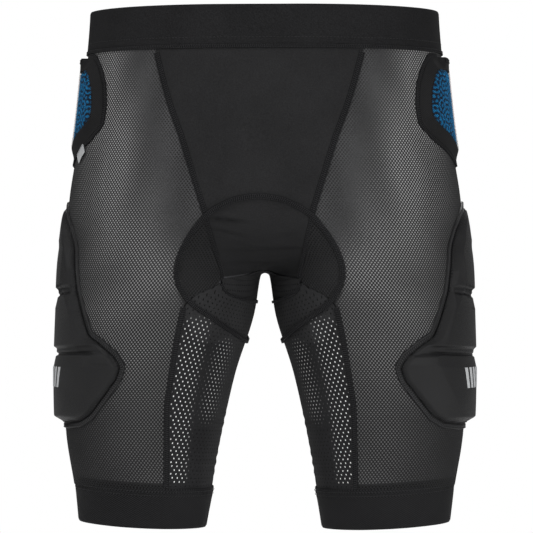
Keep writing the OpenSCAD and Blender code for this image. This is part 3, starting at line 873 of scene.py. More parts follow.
@dataclass(frozen=True)
class OpenMesh(Finish):
    """Mesh whose holes are clear, so that the pad shows through, where the mask clear is 1."""

    pitch: float = 2.3
    radius: float = 0.79
    edge: float = 0.08

    def weave(self, nodes: Nodes, shader: Shader, place: Socket, cloth: Socket) -> None:
        """Opaque yarn round clear holes, with painted shade in the holes that are not clear."""
        values = {"Cloth": cloth, "Pitch across": self.pitch, "Pitch down": self.pitch,
                  "Radius": self.radius, "Edge": self.edge, "Tall": 1.0}
        dot = nodes.add("Group", values, node_tree=staggered_dots()).outputs["Dot"]
        clear = nodes.add("Attribute", attribute_name="clear").outputs["Fac"]
        solid = nodes.math("SUBTRACT", 1.0, nodes.math("MULTIPLY", dot, clear))
        # Painted shade in the holes, which shows where they are not clear.
        shade = nodes.math("SUBTRACT", 1.0, nodes.math("MULTIPLY", dot, 0.6))
        tone = nodes.math("MULTIPLY", self.tone(nodes, place), shade)
        nodes.tree.links.new(solid, shader.inputs["Alpha"])
        self.coat(nodes, shader, nodes.tinted(self.colour, tone), solid, 0.25)


@dataclass(frozen=True)
class Foam(Finish):
    """Moulded foam whose surface winds like a maze; the mask maze is 0 in its grooves."""

    # Colour of the painted shade in the maze's grooves.
    painted_groove_shade: tuple = (0.0, 0.02, 0.07)

    def weave(self, nodes: Nodes, shader: Shader, place: Socket, cloth: Socket) -> None:
        """Bright ridges, deep grooves with painted shade in them, and fine cells."""
        maze = nodes.add("Attribute", attribute_name="maze").outputs["Fac"]
        # The maze's grooves are painted with shade.
        colour = nodes.tinted(nodes.blend(maze, self.painted_groove_shade, self.colour), self.tone(nodes, place))
        cells = nodes.add("TexVoronoi", {"Vector": place, "Scale": 1400.0}).outputs["Distance"]
        self.coat(nodes, shader, colour, cells, 0.2)


# The ribbed finishes carry painted shade in their ribs' grooves, by contrast.
ELASTIC = Ribbed("woven elastic", "elastic", (0.0133, 0.0133, 0.014), 0.75, 0.08, fibre=0.35, pitch=1.3,
                 slope=0.0, contrast=0.2)
BRUSHED = Finish("brushed facing", "elastic", (0.03, 0.03, 0.032), 0.95, 0.1, 0.3)
CUFF = Ribbed("cuff twill", "cuff_knit", (0.0088, 0.0088, 0.0094), 0.75, 0.12, pitch=3.1, slope=0.8,
              contrast=0.9)
THREAD = Finish("black thread", "seam_thread", (0.023, 0.023, 0.024), 0.6, 0.25)
TAPE = Finish("seam tape", "seam_thread", (0.0105, 0.0105, 0.0115), 0.85, 0.08)
KNIT = Knit("stretch knit", "stretch_knit", (0.02, 0.02, 0.0208), 0.8, 0.1)
# The mesh and the perforated knit carry painted light in their holes and a painted sheen on their yarn.
MESH = Holed("hex mesh", "hex_mesh", (0.0168, 0.0168, 0.0176), 0.8, 0.12, through=(0.32, 0.32, 0.32))
PERFORATED = Holed("perforated knit", "perforated_knit", (0.0185, 0.0185, 0.0195), 0.85, 0.1,
                   through=(0.98, 0.98, 0.98), haze=(0.03, 0.03, 0.031), pitch=(5.6, 7.3), radius=0.59,
                   edge=0.15, tall=1.3)
SILICONE = Finish("silicone", "silicone", (0.02, 0.02, 0.021), 0.35, 0.5)
FOAM = Foam("blue maze foam", "blue_foam", (0.0, 0.43, 1.0), 0.7, 0.3)
POCKET = OpenMesh("pocket mesh", "pocket_mesh", (0.02, 0.02, 0.021), 0.8, 0.15)
PRINT = Finish("light print", "print", (0.5, 0.51, 0.52), 0.5, 0.4, patches=0.03, fibre=0.04)
OVERLOCK = Finish("overlock thread", "seam_thread", (0.05, 0.05, 0.052), 0.6, 0.25)
PAD = Knit("pad facing", "moulded_pad", (0.0122, 0.0122, 0.0128), 0.45, 0.22, gauge=0.7)
SEAT_FOAM = Finish("seat foam", "seat_foam", (0.09, 0.09, 0.095), 0.95, 0.1)
SEAT_CLOTH = Holed("seat cloth", "seat_fabric", (0.022, 0.022, 0.024), 0.85, 0.2, pitch=(4.2, 4.2),
                   radius=0.6, edge=0.2)
SATIN = Finish("grey satin", "label_satin", (0.42, 0.43, 0.44), 0.4, 0.5, 0.3, patches=0.03, fibre=0.06)
CARE = Finish("white satin", "care_satin", (0.7, 0.7, 0.7), 0.45, 0.5, 0.3, patches=0.03, fibre=0.05)


def add_piece(piece: bpy.types.Object, finish: Finish, body: str, *nodes: str) -> bpy.types.Object:
    """Dresses a piece, lets it ride on a body and stand for CAD nodes, and logs it.

    Args:
        piece: The new object.
        finish: Its finish.
        body: The CAD body that it moves with.
        nodes: The CAD nodes that it stands for.

    Returns:
        The object.
    """
    finish.dress(piece)
    if nodes:
        piece.name = piece.data.name = nodes[0] + "_dressed"
    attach(piece, body)
    if nodes:
        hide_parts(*nodes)
    log.info("%s: %d faces", piece.name, len(piece.data.polygons))
    return piece


@dataclass(frozen=True)
class Cut:
    """The flat size of a panel before it is sewn and stretched, in metres."""

    width: float
    length: float
    area: float


def flatlock(name: str, path: Array, body_side: Side = Side.LEFT, loop: bool = False, lift: float = 0.0,
             wide: float = 6.0, narrowing: float = 0.0) -> None:
    """Sews a flatlock seam: a padded strip, cross threads over it and a needle row along each edge.

    Args:
        name: The seam's name.
        path: Points along its middle, on the left.
        body_side: The side that it is on.
        loop: Whether it closes on itself.
        lift: Its height over the cloth.
        wide: Its width.
        narrowing: The share of its width that it loses where it crosses the seat pad.
    """
    path = walk(path, 2.0, loop)
    up = BODY.normal(path)
    side = unit(np.cross(up, along(path, loop)))
    path = path + up * drape(path)[:, None]
    width = wide * (1.0 - narrowing * PATTERN.over_seat(path))
    heights = tuple(lift + h for h in (0.4, 0.9, 1.05, 0.95, 1.05, 0.9, 0.4))
    strip = band(name, path, width, heights, loop, body_side, foot=lift - 0.3)
    add_piece(strip, TAPE, SHORTS, name)
    thread = Thread(name + "_thread")
    within = PATTERN.over_seat(path) > 0.5
    runs = (path[~within], path[within]) if narrowing else (path,)
    closed = loop and not narrowing
    for run in runs:
        if len(run) > 3:
            reach = width[within if run is runs[-1] and narrowing else slice(None)].mean() * 0.72
            thread.row(run, pitch=1.9, length=reach, thick=0.62, lift=lift + 1.15, slant=78.0, loop=closed)
    for share in (-0.38, 0.38):
        beside = path + side * (share * width)[:, None]
        thread.row(beside, pitch=2.6, length=2.3, thick=0.6, lift=lift + 1.25, loop=loop)
    add_piece(thread.make(body_side), THREAD, SHORTS)


# ---------------------------------------------------------------- sub-assemblies


@dataclass
class Waistband:
    """The woven elastic waistband, its soft backing, the tape over its join and its seam."""

    height: float = 40.0
    thick: float = 1.6
    count: int = 300
    row_z: float = -32.0

    def rows(self, heights: list) -> Array:
        """Closed rows round the waist."""
        return np.stack([BODY.loop(z, self.count) for z in heights])

    def build(self) -> None:
        """Makes the four pieces and the stitched row."""
        lower = (-self.height + 0.8, -self.height)
        heights = [0.0, -0.7, -1.6, *np.linspace(-4.0, -self.height + 2.0, 14), *lower]
        points = self.rows(heights)
        edge = np.array([min(-z, self.height + z) for z in heights])[:, None]
        wave = 0.25 * np.sin(np.arange(self.count) * 0.21) * np.sin(np.arange(self.count) * 0.083 + 1.0)
        high = 0.8 - 0.55 * (1.0 - smoothstep(edge / 1.8)) + wave
        low = 0.8 - self.thick + 0.45 * (1.0 - smoothstep(edge / 1.8)) + wave
        piece = slab("waistband", points, low, high, True, column=0)
        elastic = add_piece(piece, ELASTIC, SHORTS, "waistband")
        inner = 0.4 - self.thick
        points = self.rows(list(np.linspace(-3.0, -self.height + 4.0, 8)))
        backing = slab("waistband_backing", points, inner - 0.7, inner, True, column=0)
        add_piece(backing, BRUSHED, SHORTS, "waistband_backing")
        self.tape(inner - 0.7)
        seam_z = -self.height - 0.6
        flatlock("waistband_seam", BODY.loop(seam_z, 400), loop=True, lift=0.35, wide=3.4)
        thread = Thread("waistband_stitch_row")
        thread.row(BODY.loop(self.row_z, 400), pitch=3.4, length=2.5, thick=0.5, lift=0.85, loop=True)
        add_piece(thread.make(), THREAD, SHORTS)

    def tape(self, height: float) -> None:
        """The tape over the elastic's join at the back, zigzag stitched."""
        x, z = np.meshgrid(np.linspace(9, -9, 13), np.linspace(-4, -self.height + 5, 19))
        points = BODY.face(x, z, Way.BACK)
        piece = slab("waistband_join_tape", points, height - 1.0, height - 0.4)
        add_piece(piece, TAPE, SHORTS, "waistband_join_tape")
        thread = Thread("waistband_join_stitches")
        for aside in (-6.0, 6.0):
            path = BODY.face(np.full(40, aside), np.linspace(-5, -self.height + 6, 40), Way.BACK)
            for slant in (40.0, -40.0):
                thread.row(path, pitch=2.6, length=2.4, thick=0.5, lift=height - 1.05, slant=slant)
        add_piece(thread.make(), THREAD, SHORTS)


@dataclass
class Shell:
    """The knit shell: centre panels, gusset, mesh panels and perforated inner-thigh panels."""

    thick: float = 0.9
    fork_z: float = -234.0
    crotch_z: float = -258.0
    centre_cols: int = 120
    mesh_cols: int = 150
    thigh_front: float = -52.0
    inner_cols: int = 96

    def spine(self, t: Array, way: Way) -> Array:
        """Points down the centre line, from the fork towards the crotch."""
        y = -83 + 69 * t if way is Way.FRONT else 106 - 72 * t
        z = self.fork_z + (self.crotch_z + 1 - self.fork_z) * t**1.5
        return BODY.snap(np.stack([np.zeros(t.shape), y, z], -1))

    def bowed(self, edge: Array, middle: Array, k: Array) -> Array:
        """Rows from an edge over the middle to the mirrored edge, snapped to the body."""
        other = edge * np.array([-1.0, 1.0, 1.0])
        ends = np.where((k < 0)[None, :, None], edge[:, None], other[:, None])
        return BODY.snap(middle[:, None] + (ends - middle[:, None]) * np.abs(k)[None, :, None])

    def centre_panel(self, way: Way) -> bpy.types.Object:
        """The front or back centre panel, which sinks into the crotch."""
        name = f"{way.name.lower()}_panel"
        k = np.linspace(-1, 1, self.centre_cols + 1)
        z = np.linspace(PATTERN.panel_top, self.fork_z, 110)
        half = PATTERN.line_x(z, way) - PATTERN.gap / 2
        upper = BODY.face(-way.value * half[:, None] * k[None], z[:, None], way)
        t = np.linspace(0.0, 1.0, 24)[1:]
        low = self.fork_z + t * (PATTERN.gusset_top + 6 - self.fork_z)
        edge = BODY.face(PATTERN.line_x(low, way) - PATTERN.gap / 2, low, way)
        lower = self.bowed(edge * np.array([way.value, 1, 1]), self.spine(t, way), k)
        points = np.concatenate([upper, lower])
        piece = slab(name, points, drape(points) - self.thick, drape(points))
        return add_piece(piece, KNIT, SHORTS, name)

    def gusset(self) -> bpy.types.Object:
        """The saddle under the crotch, from the front panel to the back panel."""
        u = np.linspace(0.0, 1.0, 60)
        k = np.linspace(-1, 1, 49)
        edge = PATTERN.inner(u, PATTERN.gusset_edge(u) + PATTERN.gap)
        for row, way in ((0, Way.FRONT), (-1, Way.BACK)):
            edge[row] = PATTERN.line(np.array([-264.0]), way)[0]
        middle = np.stack([np.zeros(60), -10 + 40 * u, np.full(60, self.crotch_z)], -1)
        middle = BODY.snap(middle)
        for row, way in ((0, Way.FRONT), (-1, Way.BACK)):
            middle[row] = self.spine(np.array([1.06]), way)[0]
        points = self.bowed(edge, middle, k)
        # The gusset's holes get painted shade throughout, and its yarn an even painted sheen.
        paint = {"light": np.zeros(points.shape[:2]), "haze": np.full(points.shape[:2], 0.6)}
        piece = slab("gusset", points, -self.thick, 0.0, own_columns=True, paint=paint)
        return add_piece(piece, PERFORATED, SHORTS, "gusset")

    def mesh_light(self, angle: Array, front: Array, back: Array, p: Array) -> dict:
        """Painted light through the mesh's holes, most down the middle of the thigh, and a painted sheen on
        its yarn beside the seams and towards the outer side.
        """
        z = p[..., 2]
        across = np.where(angle < 0, 1 - angle / front, 1 - angle / back)
        middle = np.interp(z, (-460, -380, -300, -200, -60), (0.05, 0.12, 0.33, 0.5, 0.5))
        width = np.interp(z, (-460, -300, -200, -60), (0.42, 0.38, 0.24, 0.25))
        levels = (-465, -440, -400, -330, -250, -100, -45)
        bright = np.interp(z, levels, (0.26, 0.27, 0.28, 0.55, 0.78, 1.15, 1.0))
        light = bright * bump_at(across, middle, width) + 0.03
        seat = PATTERN.over_seat(p)
        near = smoothstep((z + 320.0) / 120.0) * bump_at(across, 0.0, 0.33)
        # Painted sheen towards the outer side of the leg.
        sides = 0.06 * smoothstep((across - 0.55) / 0.4) * smoothstep((z + 420.0) / 40.0)
        x = np.where(angle < 0, p[..., 0], -p[..., 0])
        # A painted sheen that ripples across the thigh.
        ripple = np.sin((x + 0.45 * z) / 7.5 + 2.2 * np.sin(z / 61.0))
        sheen = 1.0 + 0.16 * ripple * smoothstep((z + 260.0) / 90.0)
        light = light * sheen * (1.0 + 0.1 * np.sin(x / 13.0 + z / 29.0) * np.sin(z / 17.0 + 0.8))
        # Painted sheen on the yarn: beside the seams and at the outer side, faint over the seat pad.
        haze = np.clip(0.95 * near * sheen + sides, 0.0, 1.0) * (1 - seat) + 0.09 * seat
        hem = PATTERN.cuff_top + PATTERN.cuff_lean * (p[..., 0] - PATTERN.cuff_x)
        return {"light": light * (1 - 0.96 * seat) * smoothstep((z - hem - 2.5) / 3.0), "haze": haze}

    def mesh_panel(self, side: Side) -> bpy.types.Object:
        """A mesh panel: from the front seam round the outer side to the back seam."""
        name = side.named("mesh_panel")
        u = np.linspace(0.0, 1.0, self.mesh_cols + 1)[None]
        z = np.linspace(PATTERN.panel_top, PATTERN.cuff_top - PATTERN.tuck, 218)[:, None] + 0 * u

        def angles(heights: Array) -> Array:
            """Angles of every column, from seam to seam, at each height."""
            front = PATTERN.line_angle(heights, Way.FRONT, PATTERN.gap / 2)
            back = PATTERN.line_angle(heights, Way.BACK, PATTERN.gap / 2)
            return front + (back - front) * u

        points = BODY.leg(angles(z), z)
        points = PATTERN.to_cuff(points, lambda heights: BODY.leg(angles(heights), heights))
        z = points[..., 2]
        front = PATTERN.line_angle(z, Way.FRONT, 0.0)
        back = PATTERN.line_angle(z, Way.BACK, 0.0)
        column = self.mesh_cols * (self.thigh_front - front[:, 0]) / (back[:, 0] - front[:, 0])
        paint = self.mesh_light(angles(z), front, back, points)
        folds = drape(points)
        points, normals = side.turn(points), side.turn(BODY.normal(points))
        piece = slab(name, points, folds - self.thick, folds, normals=normals, column=column, paint=paint)
        return add_piece(piece, MESH, SHORTS, name)

    def inner_light(self, p: Array) -> dict:
        """Painted light through the perforations, in bands beside the seams, and a painted sheen on the yarn
        across the innermost part of the thigh and over the seat pad.
        """
        z = p[..., 2]
        way = np.where(p[..., 1] < 0, 1, 0)
        line = np.where(way, PATTERN.line_x(z, Way.FRONT), PATTERN.line_x(z, Way.BACK))
        inner = BODY.at(BODY.leg_inner, z)
        w = (line - p[..., 0]) / np.maximum(line - inner, 5.0)
        first = smoothstep((w - 0.03) / 0.06) * smoothstep((0.5 - w) / 0.14)
        first *= smoothstep((-296.0 - z) / 14.0) * smoothstep((z + 465.5) / 3.5)
        second = 0.75 * bump_at(w, 0.72, 0.11) * smoothstep((-318 - z) / 12.0)
        second = second * smoothstep((z + 412.0) / 24.0)
        upper = 0.1 * smoothstep((z + 335.0) / 10.0)
        # Painted sheen on the yarn: across the innermost part of the thigh and over the seat pad.
        haze = np.clip(smoothstep((w - 0.66) / 0.3) + 0.7 * PATTERN.over_seat(p), 0, 1)
        return {"light": np.clip(np.maximum(first, second) - upper, 0, 1), "haze": haze}

    def inner_thigh(self, side: Side) -> bpy.types.Object:
        """A perforated inner-thigh panel: from the gusset's edge down to the cuff."""
        name = side.named("inner_thigh_panel")
        u = np.linspace(1.0, 0.0, self.inner_cols + 1)[None]
        t = np.linspace(0.0, 1.0, 110)[:, None]
        top = PATTERN.gusset_edge(u)
        z = top + (PATTERN.cuff_top - PATTERN.tuck - top) * t
        points = PATTERN.to_cuff(PATTERN.inner(u, z), lambda heights: PATTERN.inner(u, heights))
        paint = self.inner_light(points)
        folds = drape(points) * smoothstep(t * 8.0)
        points, normals = side.turn(points), side.turn(BODY.normal(points))
        piece = slab(name, points, folds - self.thick, folds, normals=normals, paint=paint)
        return add_piece(piece, PERFORATED, SHORTS, name)

    def seams(self, side: Side) -> None:
        """The flatlock seams of one side."""
        for way in Way:
            word = way.name.lower()
            path = PATTERN.line(np.linspace(-46, -264, 120), way)
            flatlock(side.named(f"{word}_seam"), path, side, narrowing=0.4)
            path = PATTERN.line(np.linspace(-292, -467, 104), way)
            flatlock(side.named(f"{word}_thigh_seam"), path, side)
        u = np.linspace(0.02, 0.98, 100)
        path = PATTERN.inner(u, PATTERN.gusset_edge(u) + PATTERN.gap / 2)
        flatlock(side.named("gusset_seam"), path, side, wide=3.4, narrowing=0.2)

    def build(self) -> None:
        front, back = self.centre_panel(Way.FRONT), self.centre_panel(Way.BACK)
        self.gusset()
        for side in Side:
            self.mesh_panel(side)
            side.named("cuff")
            self.inner_thigh(side)
            side.named("cuff")
            self.seams(side)


@dataclass(frozen=True)
class Outline:
    """A pad's closed outline on the body: across it in degrees or millimetres, and height.

    The points in half are mirrored to the front. Towards the back they are scaled by back. Towards the
    front they move out by up to ahead, which a point has in full from ahead_from outwards.
    """

    half: tuple
    centre: float
    scale: float
    on_side: bool = True
    back: float = 1.0
    ahead: float = 0.0
    ahead_from: float = 18.0
    soften: float = 3.0

    def place(self, across: Array, z: Array) -> Array:
        """Surface points at outline coordinates."""
        return BODY.leg(across, z) if self.on_side else BODY.face(-across, z, Way.BACK)

    def curve(self, count: int = 480) -> Array:
        """The whole outline, evenly spaced and softened, from its lower corner round to the left."""
        right = np.array([(a * self.back * self.scale, z) for a, z in self.half], float)
        shift = [self.ahead * min(a / self.ahead_from, 1.0) for a, _ in self.half]
        left = np.array([(-(a + more) * self.scale, z) for (a, z), more in zip(self.half, shift)], float)
        ring = np.concatenate([left[::-1], right])
        keep = np.linalg.norm(ring - np.roll(ring, 1, 0), axis=1) > 0.01
        ring = ring[keep]
        ring = np.concatenate([ring, ring[:1]])
        run = np.concatenate([[0.0], np.cumsum(np.linalg.norm(np.diff(ring, axis=0), axis=1))])
        at = np.linspace(0.0, run[-1], count, endpoint=False)
        even = np.stack([np.interp(at, run, ring[:, k]) for k in range(2)], -1)
        reach = self.soften * count / run[-1]
        wave = np.exp(-0.5 * (np.fft.fftfreq(count, 1 / count) * math.tau * reach / count) ** 2)
        soft = np.fft.ifft(np.fft.fft(even[:, 0] + 1j * even[:, 1]) * wave)
        soft = np.stack([soft.real, soft.imag], -1)
        area = np.sum(soft[:, 0] * np.roll(soft[:, 1], -1) - np.roll(soft[:, 0], -1) * soft[:, 1])
        soft = soft if area > 0 else soft[::-1]
        turn = np.arctan2(soft[:, 1] - self.centre, soft[:, 0])
        start = np.argmin(np.abs(turn + math.pi / 4))
        return np.roll(soft, -start, 0)

    def shrunk(self, share: float) -> Array:
        """The outline, drawn in towards its centre."""
        middle = np.array([0.0, self.centre])
        return middle + (self.curve() - middle) * share

    def inset(self, width: float, steps: int = 8) -> Array:
        """The outline, moved in by the same width all round."""
        c = self.curve()
        for _ in range(steps):
            ahead = np.roll(c, -1, 0) - np.roll(c, 1, 0)
            c = c + width / steps * unit(np.stack([-ahead[:, 1], ahead[:, 0]], -1))
            c = (np.roll(c, 1, 0) + 2 * c + np.roll(c, -1, 0)) / 4
        return c

    def ring(self, curve: Array) -> Array:
        """Surface points along a curve."""
        return self.place(curve[:, 0] / self.scale, curve[:, 1])

    def fill(self, cells: int, curve: Array) -> tuple[Array, Array, Array]:
        """Fills a curve with a square grid whose rings follow it.

        Args:
            cells: Cells along each side of the grid.
            curve: The closed curve that is the grid's edge.

        Returns:
            The surface points, their coordinates across and up, and their distance from the edge.
        """
        x, y = np.meshgrid(np.linspace(-1, 1, cells + 1), np.linspace(-1, 1, cells + 1))
        s = np.maximum(np.abs(x), np.abs(y))
        safe = np.maximum(s, 1e-9)
        right, top = (y / safe + 1) / 8, (3 - x / safe) / 8
        left, bottom = (5 - y / safe) / 8, (7 + x / safe) / 8
        q = np.select([x >= safe - 1e-9, y >= safe - 1e-9, x <= -safe + 1e-9], [right, top, left], bottom)
        at = np.concatenate([curve, curve[:1]])
        steps = np.linspace(0.0, 1.0, len(at))
        edge = np.stack([np.interp(q % 1.0, steps, at[:, k]) for k in range(2)], -1)
        middle = np.array([0.0, self.centre])
        local = middle + (edge - middle) * s[..., None]
        points = self.place(local[..., 0] / self.scale, local[..., 1])
        away = np.full(s.shape, 1e9)
        for p in self.ring(curve)[::2]:
            away = np.minimum(away, np.linalg.norm(points - p, axis=-1))
        return points, local / np.array([self.scale, 1.0]), away


def maze(a: Array, b: Array, period: float, seed: int) -> Array:
    """A winding, even-spaced pattern in a plane: near 0 in its grooves and 1 on its ridges."""
    random = np.random.default_rng(seed)
    total = np.zeros(a.shape)
    for angle in np.arange(14) * math.pi / 14:
        phase = random.uniform(0, math.tau)
        total += np.cos((a * math.cos(angle) + b * math.sin(angle)) * math.tau / period + phase)
    return smoothstep((total + 0.2) / 1.2)


@dataclass
class Pocket:
    """A foam pad in a mesh pocket: the pad, the cover over it and the bound edge."""

    name: str
    outline: Outline
    mouth: float
    mouth_half: float
    pad_share: float
    pad_high: float
    foot: float = 1.9
    gap: float = 0.7
    cover_t: float = 0.6
    sewn: float = 1.4
    border: float = 12.0
    cells: int = 140

    @property
    def level(self) -> float:
        """Height of the cover's underside over the pad."""
        return self.foot + self.pad_high + self.gap

    def titled(self, side: Side | None, part: str) -> str:
        """A piece's name, with its side where there are two."""
        return f"{self.name}_{part}" if side is None else side.named(f"{self.name}_{part}")

    def pad(self, side: Side | None, body: str) -> bpy.types.Object:
        """The foam pad, crowned, with maze grooves on its face."""
        points, local, away = self.outline.fill(self.cells, self.outline.shrunk(self.pad_share))
        ridges = maze(local[..., 0] * self.outline.scale, local[..., 1], 4.6, 7)
        crown = self.pad_high * np.clip(away / 5.0, 0, 1) ** 0.45
        high = self.foot + 0.15 + crown - 0.9 * (1 - ridges) * smoothstep(away / 4.0)
        name = self.titled(side, "pad")
        turn = side or Side.LEFT
        normals = turn.turn(BODY.normal(points))
        piece = slab(name, turn.turn(points), self.foot, high, normals=normals, paint={"maze": ridges})
        add_piece(piece, FOAM, body, name)
        return piece

    def cover(self, side: Side | None) -> bpy.types.Object:
        """The mesh cover: level over the pad, sewn down round its edge and open at its top."""
        points, local, away = self.outline.fill(self.cells, self.outline.shrunk(0.985))
        slope = smoothstep((away - 1.0) / 15.0)
        under = self.sewn + (self.level - self.sewn) * slope
        open_top = smoothstep((self.mouth_half - np.abs(local[..., 0])) / (0.25 * self.mouth_half))
        open_top *= smoothstep((local[..., 1] - self.mouth + 24.0) / 18.0)
        under = under + (self.level - under) * open_top
        name = self.titled(side, "pocket_cover")
        turn = side or Side.LEFT
        clear = smoothstep((away - self.border) / 1.5)
        normals = turn.turn(BODY.normal(points))
        high = under + self.cover_t
        piece = slab(name, turn.turn(points), under, high, normals=normals, paint={"clear": clear})
        return add_piece(piece, POCKET, SHORTS, name)

    def binding(self, side: Side | None) -> None:
        """The stitched edge, all round but the mouth."""
        local = self.outline.curve()
        rim = self.outline.ring(local)
        inside = np.abs(local[:, 0]) < self.mouth_half * self.outline.scale
        shut = ~(inside & (local[:, 1] > self.mouth - 6))
        start = int(np.argmax(shut & ~np.roll(shut, 1)))
        path = np.roll(rim, -start, 0)[: int(shut.sum())]
        flatlock(self.titled(side, "pocket_binding"), path, side or Side.LEFT, lift=0.5)
        across = np.linspace(1.0, -1.0, 60) * self.mouth_half * 0.78
        path = self.outline.place(across, np.full(60, self.mouth - 3.4))
        name = self.titled(side, "pocket_hem")
        lift = self.level + self.cover_t
        hem = band(name, path, 5.4, (lift, lift + 0.5, lift + 0.6, lift + 0.5, lift), side=side or Side.LEFT,
                   foot=self.level - 0.1)
        add_piece(hem, TAPE, SHORTS)
        thread = Thread(name + "_thread")
        for aside in (-1.3, 1.3):
            thread.row(path, pitch=2.6, length=2.0, thick=0.5, lift=lift + 0.65, aside=aside)
        add_piece(thread.make(side or Side.LEFT), THREAD, SHORTS)


@dataclass
class HipPockets:
    """The two hip pads in their pockets, at the widest part of the hips."""

    outline: Outline = Outline(
        ((27, -46), (33, -57), (38, -75), (40, -95), (39.5, -113), (31, -127), (18, -138.5), (8, -148),
         (0, -151)),
        centre=-98.0, scale=1.9, soften=2.5,
    )

    def build(self) -> None:
        """Makes both sides."""
        pocket = Pocket("hip", self.outline, mouth=-46.0, mouth_half=20.0, pad_share=0.76, pad_high=3.6)
        for side in Side:
            pocket.pad(side, side.named("hip_pad_body"))
            pocket.cover(side)
            side.named("hip_pad")
            pocket.binding(side)


@dataclass
class TailbonePocket:
    """The tailbone pad in its pocket at the centre of the back."""

    outline: Outline = Outline(
        ((50, -50), (57, -64), (60, -90), (58, -115), (50, -140), (36, -160), (18, -171), (0, -174)),
        centre=-112.0, scale=1.0, on_side=False, soften=3.0,
    )

    def build(self) -> None:
        """Makes the pad, its cover and its binding."""
        pocket = Pocket("tailbone", self.outline, mouth=-50.0, mouth_half=30.0, pad_share=0.8, pad_high=6.0)
        pocket.pad(None, "tailbone_pad_body")
        pocket.cover(None)
        pocket.binding(None)


@dataclass
class ThighPads:
    """The moulded thigh pads: three blocks with chamfered facets, double grooves and a sewn flange."""

    outline: Outline = Outline(
        ((0, -186), (8, -196), (15, -211), (21, -236), (30, -275), (38, -297), (46, -316), (54, -322),
         (67, -336), (73, -349), (71, -364), (62, -384), (53, -401), (42, -409), (21, -412), (0, -412)),
        centre=-345.0, scale=1.62, back=0.86, ahead=6.5, soften=2.6,
    )
    top: float = 11.6
    flange_wide: float = 6.0
    cells: int = 190
    facet_z: tuple = (-412, -395, -370, -348, -340, -336, -324, -290, -282, -274, -232, -208, -190)
    facet_half: tuple = (24, 34, 46, 53, 53, 46, 44, 32, 25, 20, 19, 8, 0)
    slope_z: tuple = (-346.0, -336.0)
    slopes: tuple = (0.17, 0.3)
    upper_end: float = -226.0
    upper_slope: float = 0.22
    lower_end: float = -399.0
    lower_slope: float = 0.34
    bars: int = 5
    bar_z: tuple = (-351.0, -371.0)
    bar_wide: float = 3.4
    bar_pitch: float = 6.0

    def grooves(self, across: Array, z: Array) -> Array:
        """Depth of the double grooves between the blocks, and of the bevel below each."""
        depth = np.zeros(z.shape)
        for middle, reach in ((-278.5, 36.0), (-337.0, 66.0)):
            line = middle + 4.8 * (np.abs(across) / reach) ** 1.4
            fade = smoothstep((reach * 0.94 - np.abs(across)) / (reach * 0.22))
            off = z - line
            trough = 0.9 * smoothstep((5.6 - np.abs(off)) / 2.4)
            cuts = sum(smoothstep(1.0 - np.abs(off - k) / 2.3) for k in (-2.6, 2.6))
            bevel = 0.2 * np.clip(16.0 + off, 0.0, 11.0) * smoothstep((3.0 - off) / 3.0)
            depth += fade * (trough + 2.0 * cuts + bevel)
        return depth

    def height(self, across: Array, z: Array, away: Array) -> Array:
        """Height of the moulded face over the shell."""
        half = np.interp(z, self.facet_z, self.facet_half)
        beyond = (np.abs(across) - half) * self.outline.scale
        facet = self.top - np.interp(z, self.slope_z, self.slopes) * np.maximum(beyond, 0.0)
        end = self.top - self.upper_slope * np.maximum(z - self.upper_end, 0.0)
        end = end - self.lower_slope * np.maximum(self.lower_end - z, 0.0)
        wall = 0.9 + 1.7 * away
        face = soft_min(soft_min(facet, end, 0.6), self.top + 0 * z, 0.5)
        face = face - self.grooves(across, z)
        return soft_min(np.maximum(face, 4.2), wall, 1.8)

    def body(self, side: Side) -> None:
        """The moulded body of a pad."""
        name = side.named("thigh_pad")
        points, local, away = self.outline.fill(self.cells, self.outline.inset(self.flange_wide))
        high = self.height(local[..., 0], local[..., 1], away)
        turned = side.turn(points)
        piece = slab(name, turned, 0.3, high, normals=side.turn(BODY.normal(points)), crease=38.0)
        add_piece(piece, PAD, SHORTS, name)

    def rim(self, side: Side) -> None:
        """The sewn flange round a pad, with its overlock stitches."""
        name = side.named("thigh_pad_flange")
        outer = self.outline.ring(self.outline.curve())
        inner = self.outline.ring(self.outline.inset(self.flange_wide - 0.4))
        t = np.linspace(0.0, 1.0, 11)
        points = BODY.snap(inner[None] + (outer - inner)[None] * t[:, None, None])
        high = np.array([0.5, 0.6, 1.3, 1.5, 1.5, 1.5, 1.5, 1.7, 2.2, 2.1, 0.8])[:, None] + 0 * points[..., 0]
        turned = side.turn(points)
        normals = side.turn(BODY.normal(points))
        piece = slab(name, turned, 0.2, high, True, normals=normals, column=0, crease=60.0)
        add_piece(piece, PAD, SHORTS, name)
        thread = Thread(name + "_thread")
        path = BODY.snap(inner + (outer - inner) * 0.47)
        thread.row(path, pitch=2.3, length=3.6, thick=0.8, lift=1.75, slant=76.0, loop=True)
        path = BODY.snap(inner + (outer - inner) * 0.82)
        thread.row(path, pitch=2.6, length=2.3, thick=0.55, lift=2.25, loop=True)
        add_piece(thread.make(side), OVERLOCK, SHORTS)

    def marks(self, side: Side) -> None:
        """Plain slanted bars printed on the lower block."""
        name = side.named("thigh_pad_print")
        made = None
        for k in range(self.bars):
            down, along_bar = np.linspace(*self.bar_z, 11), np.linspace(0.0, self.bar_wide, 6)
            z, d = np.meshgrid(down, along_bar, indexing="ij")
            across = -(2 + self.bar_pitch * k + d + (z + 370) * 0.12)
            points = BODY.leg(across, z)
            lift = self.height(across, z, np.full(z.shape, 40.0)) + 0.05
            turned = side.turn(points)
            bar = slab(name, turned, lift, lift + 0.3, normals=side.turn(BODY.normal(points)))
            if made is None:
                made = bar
            else:
                bm = bmesh.new()
                bm.from_mesh(made.data)
                bm.from_mesh(bar.data)
                bm.to_mesh(made.data)
                bm.free()
                bpy.data.objects.remove(bar)
        add_piece(made, PRINT, SHORTS, name)

    def build(self) -> None:
        """Makes both pads."""
        for side in Side:
            self.body(side)
            self.rim(side)
            self.marks(side)


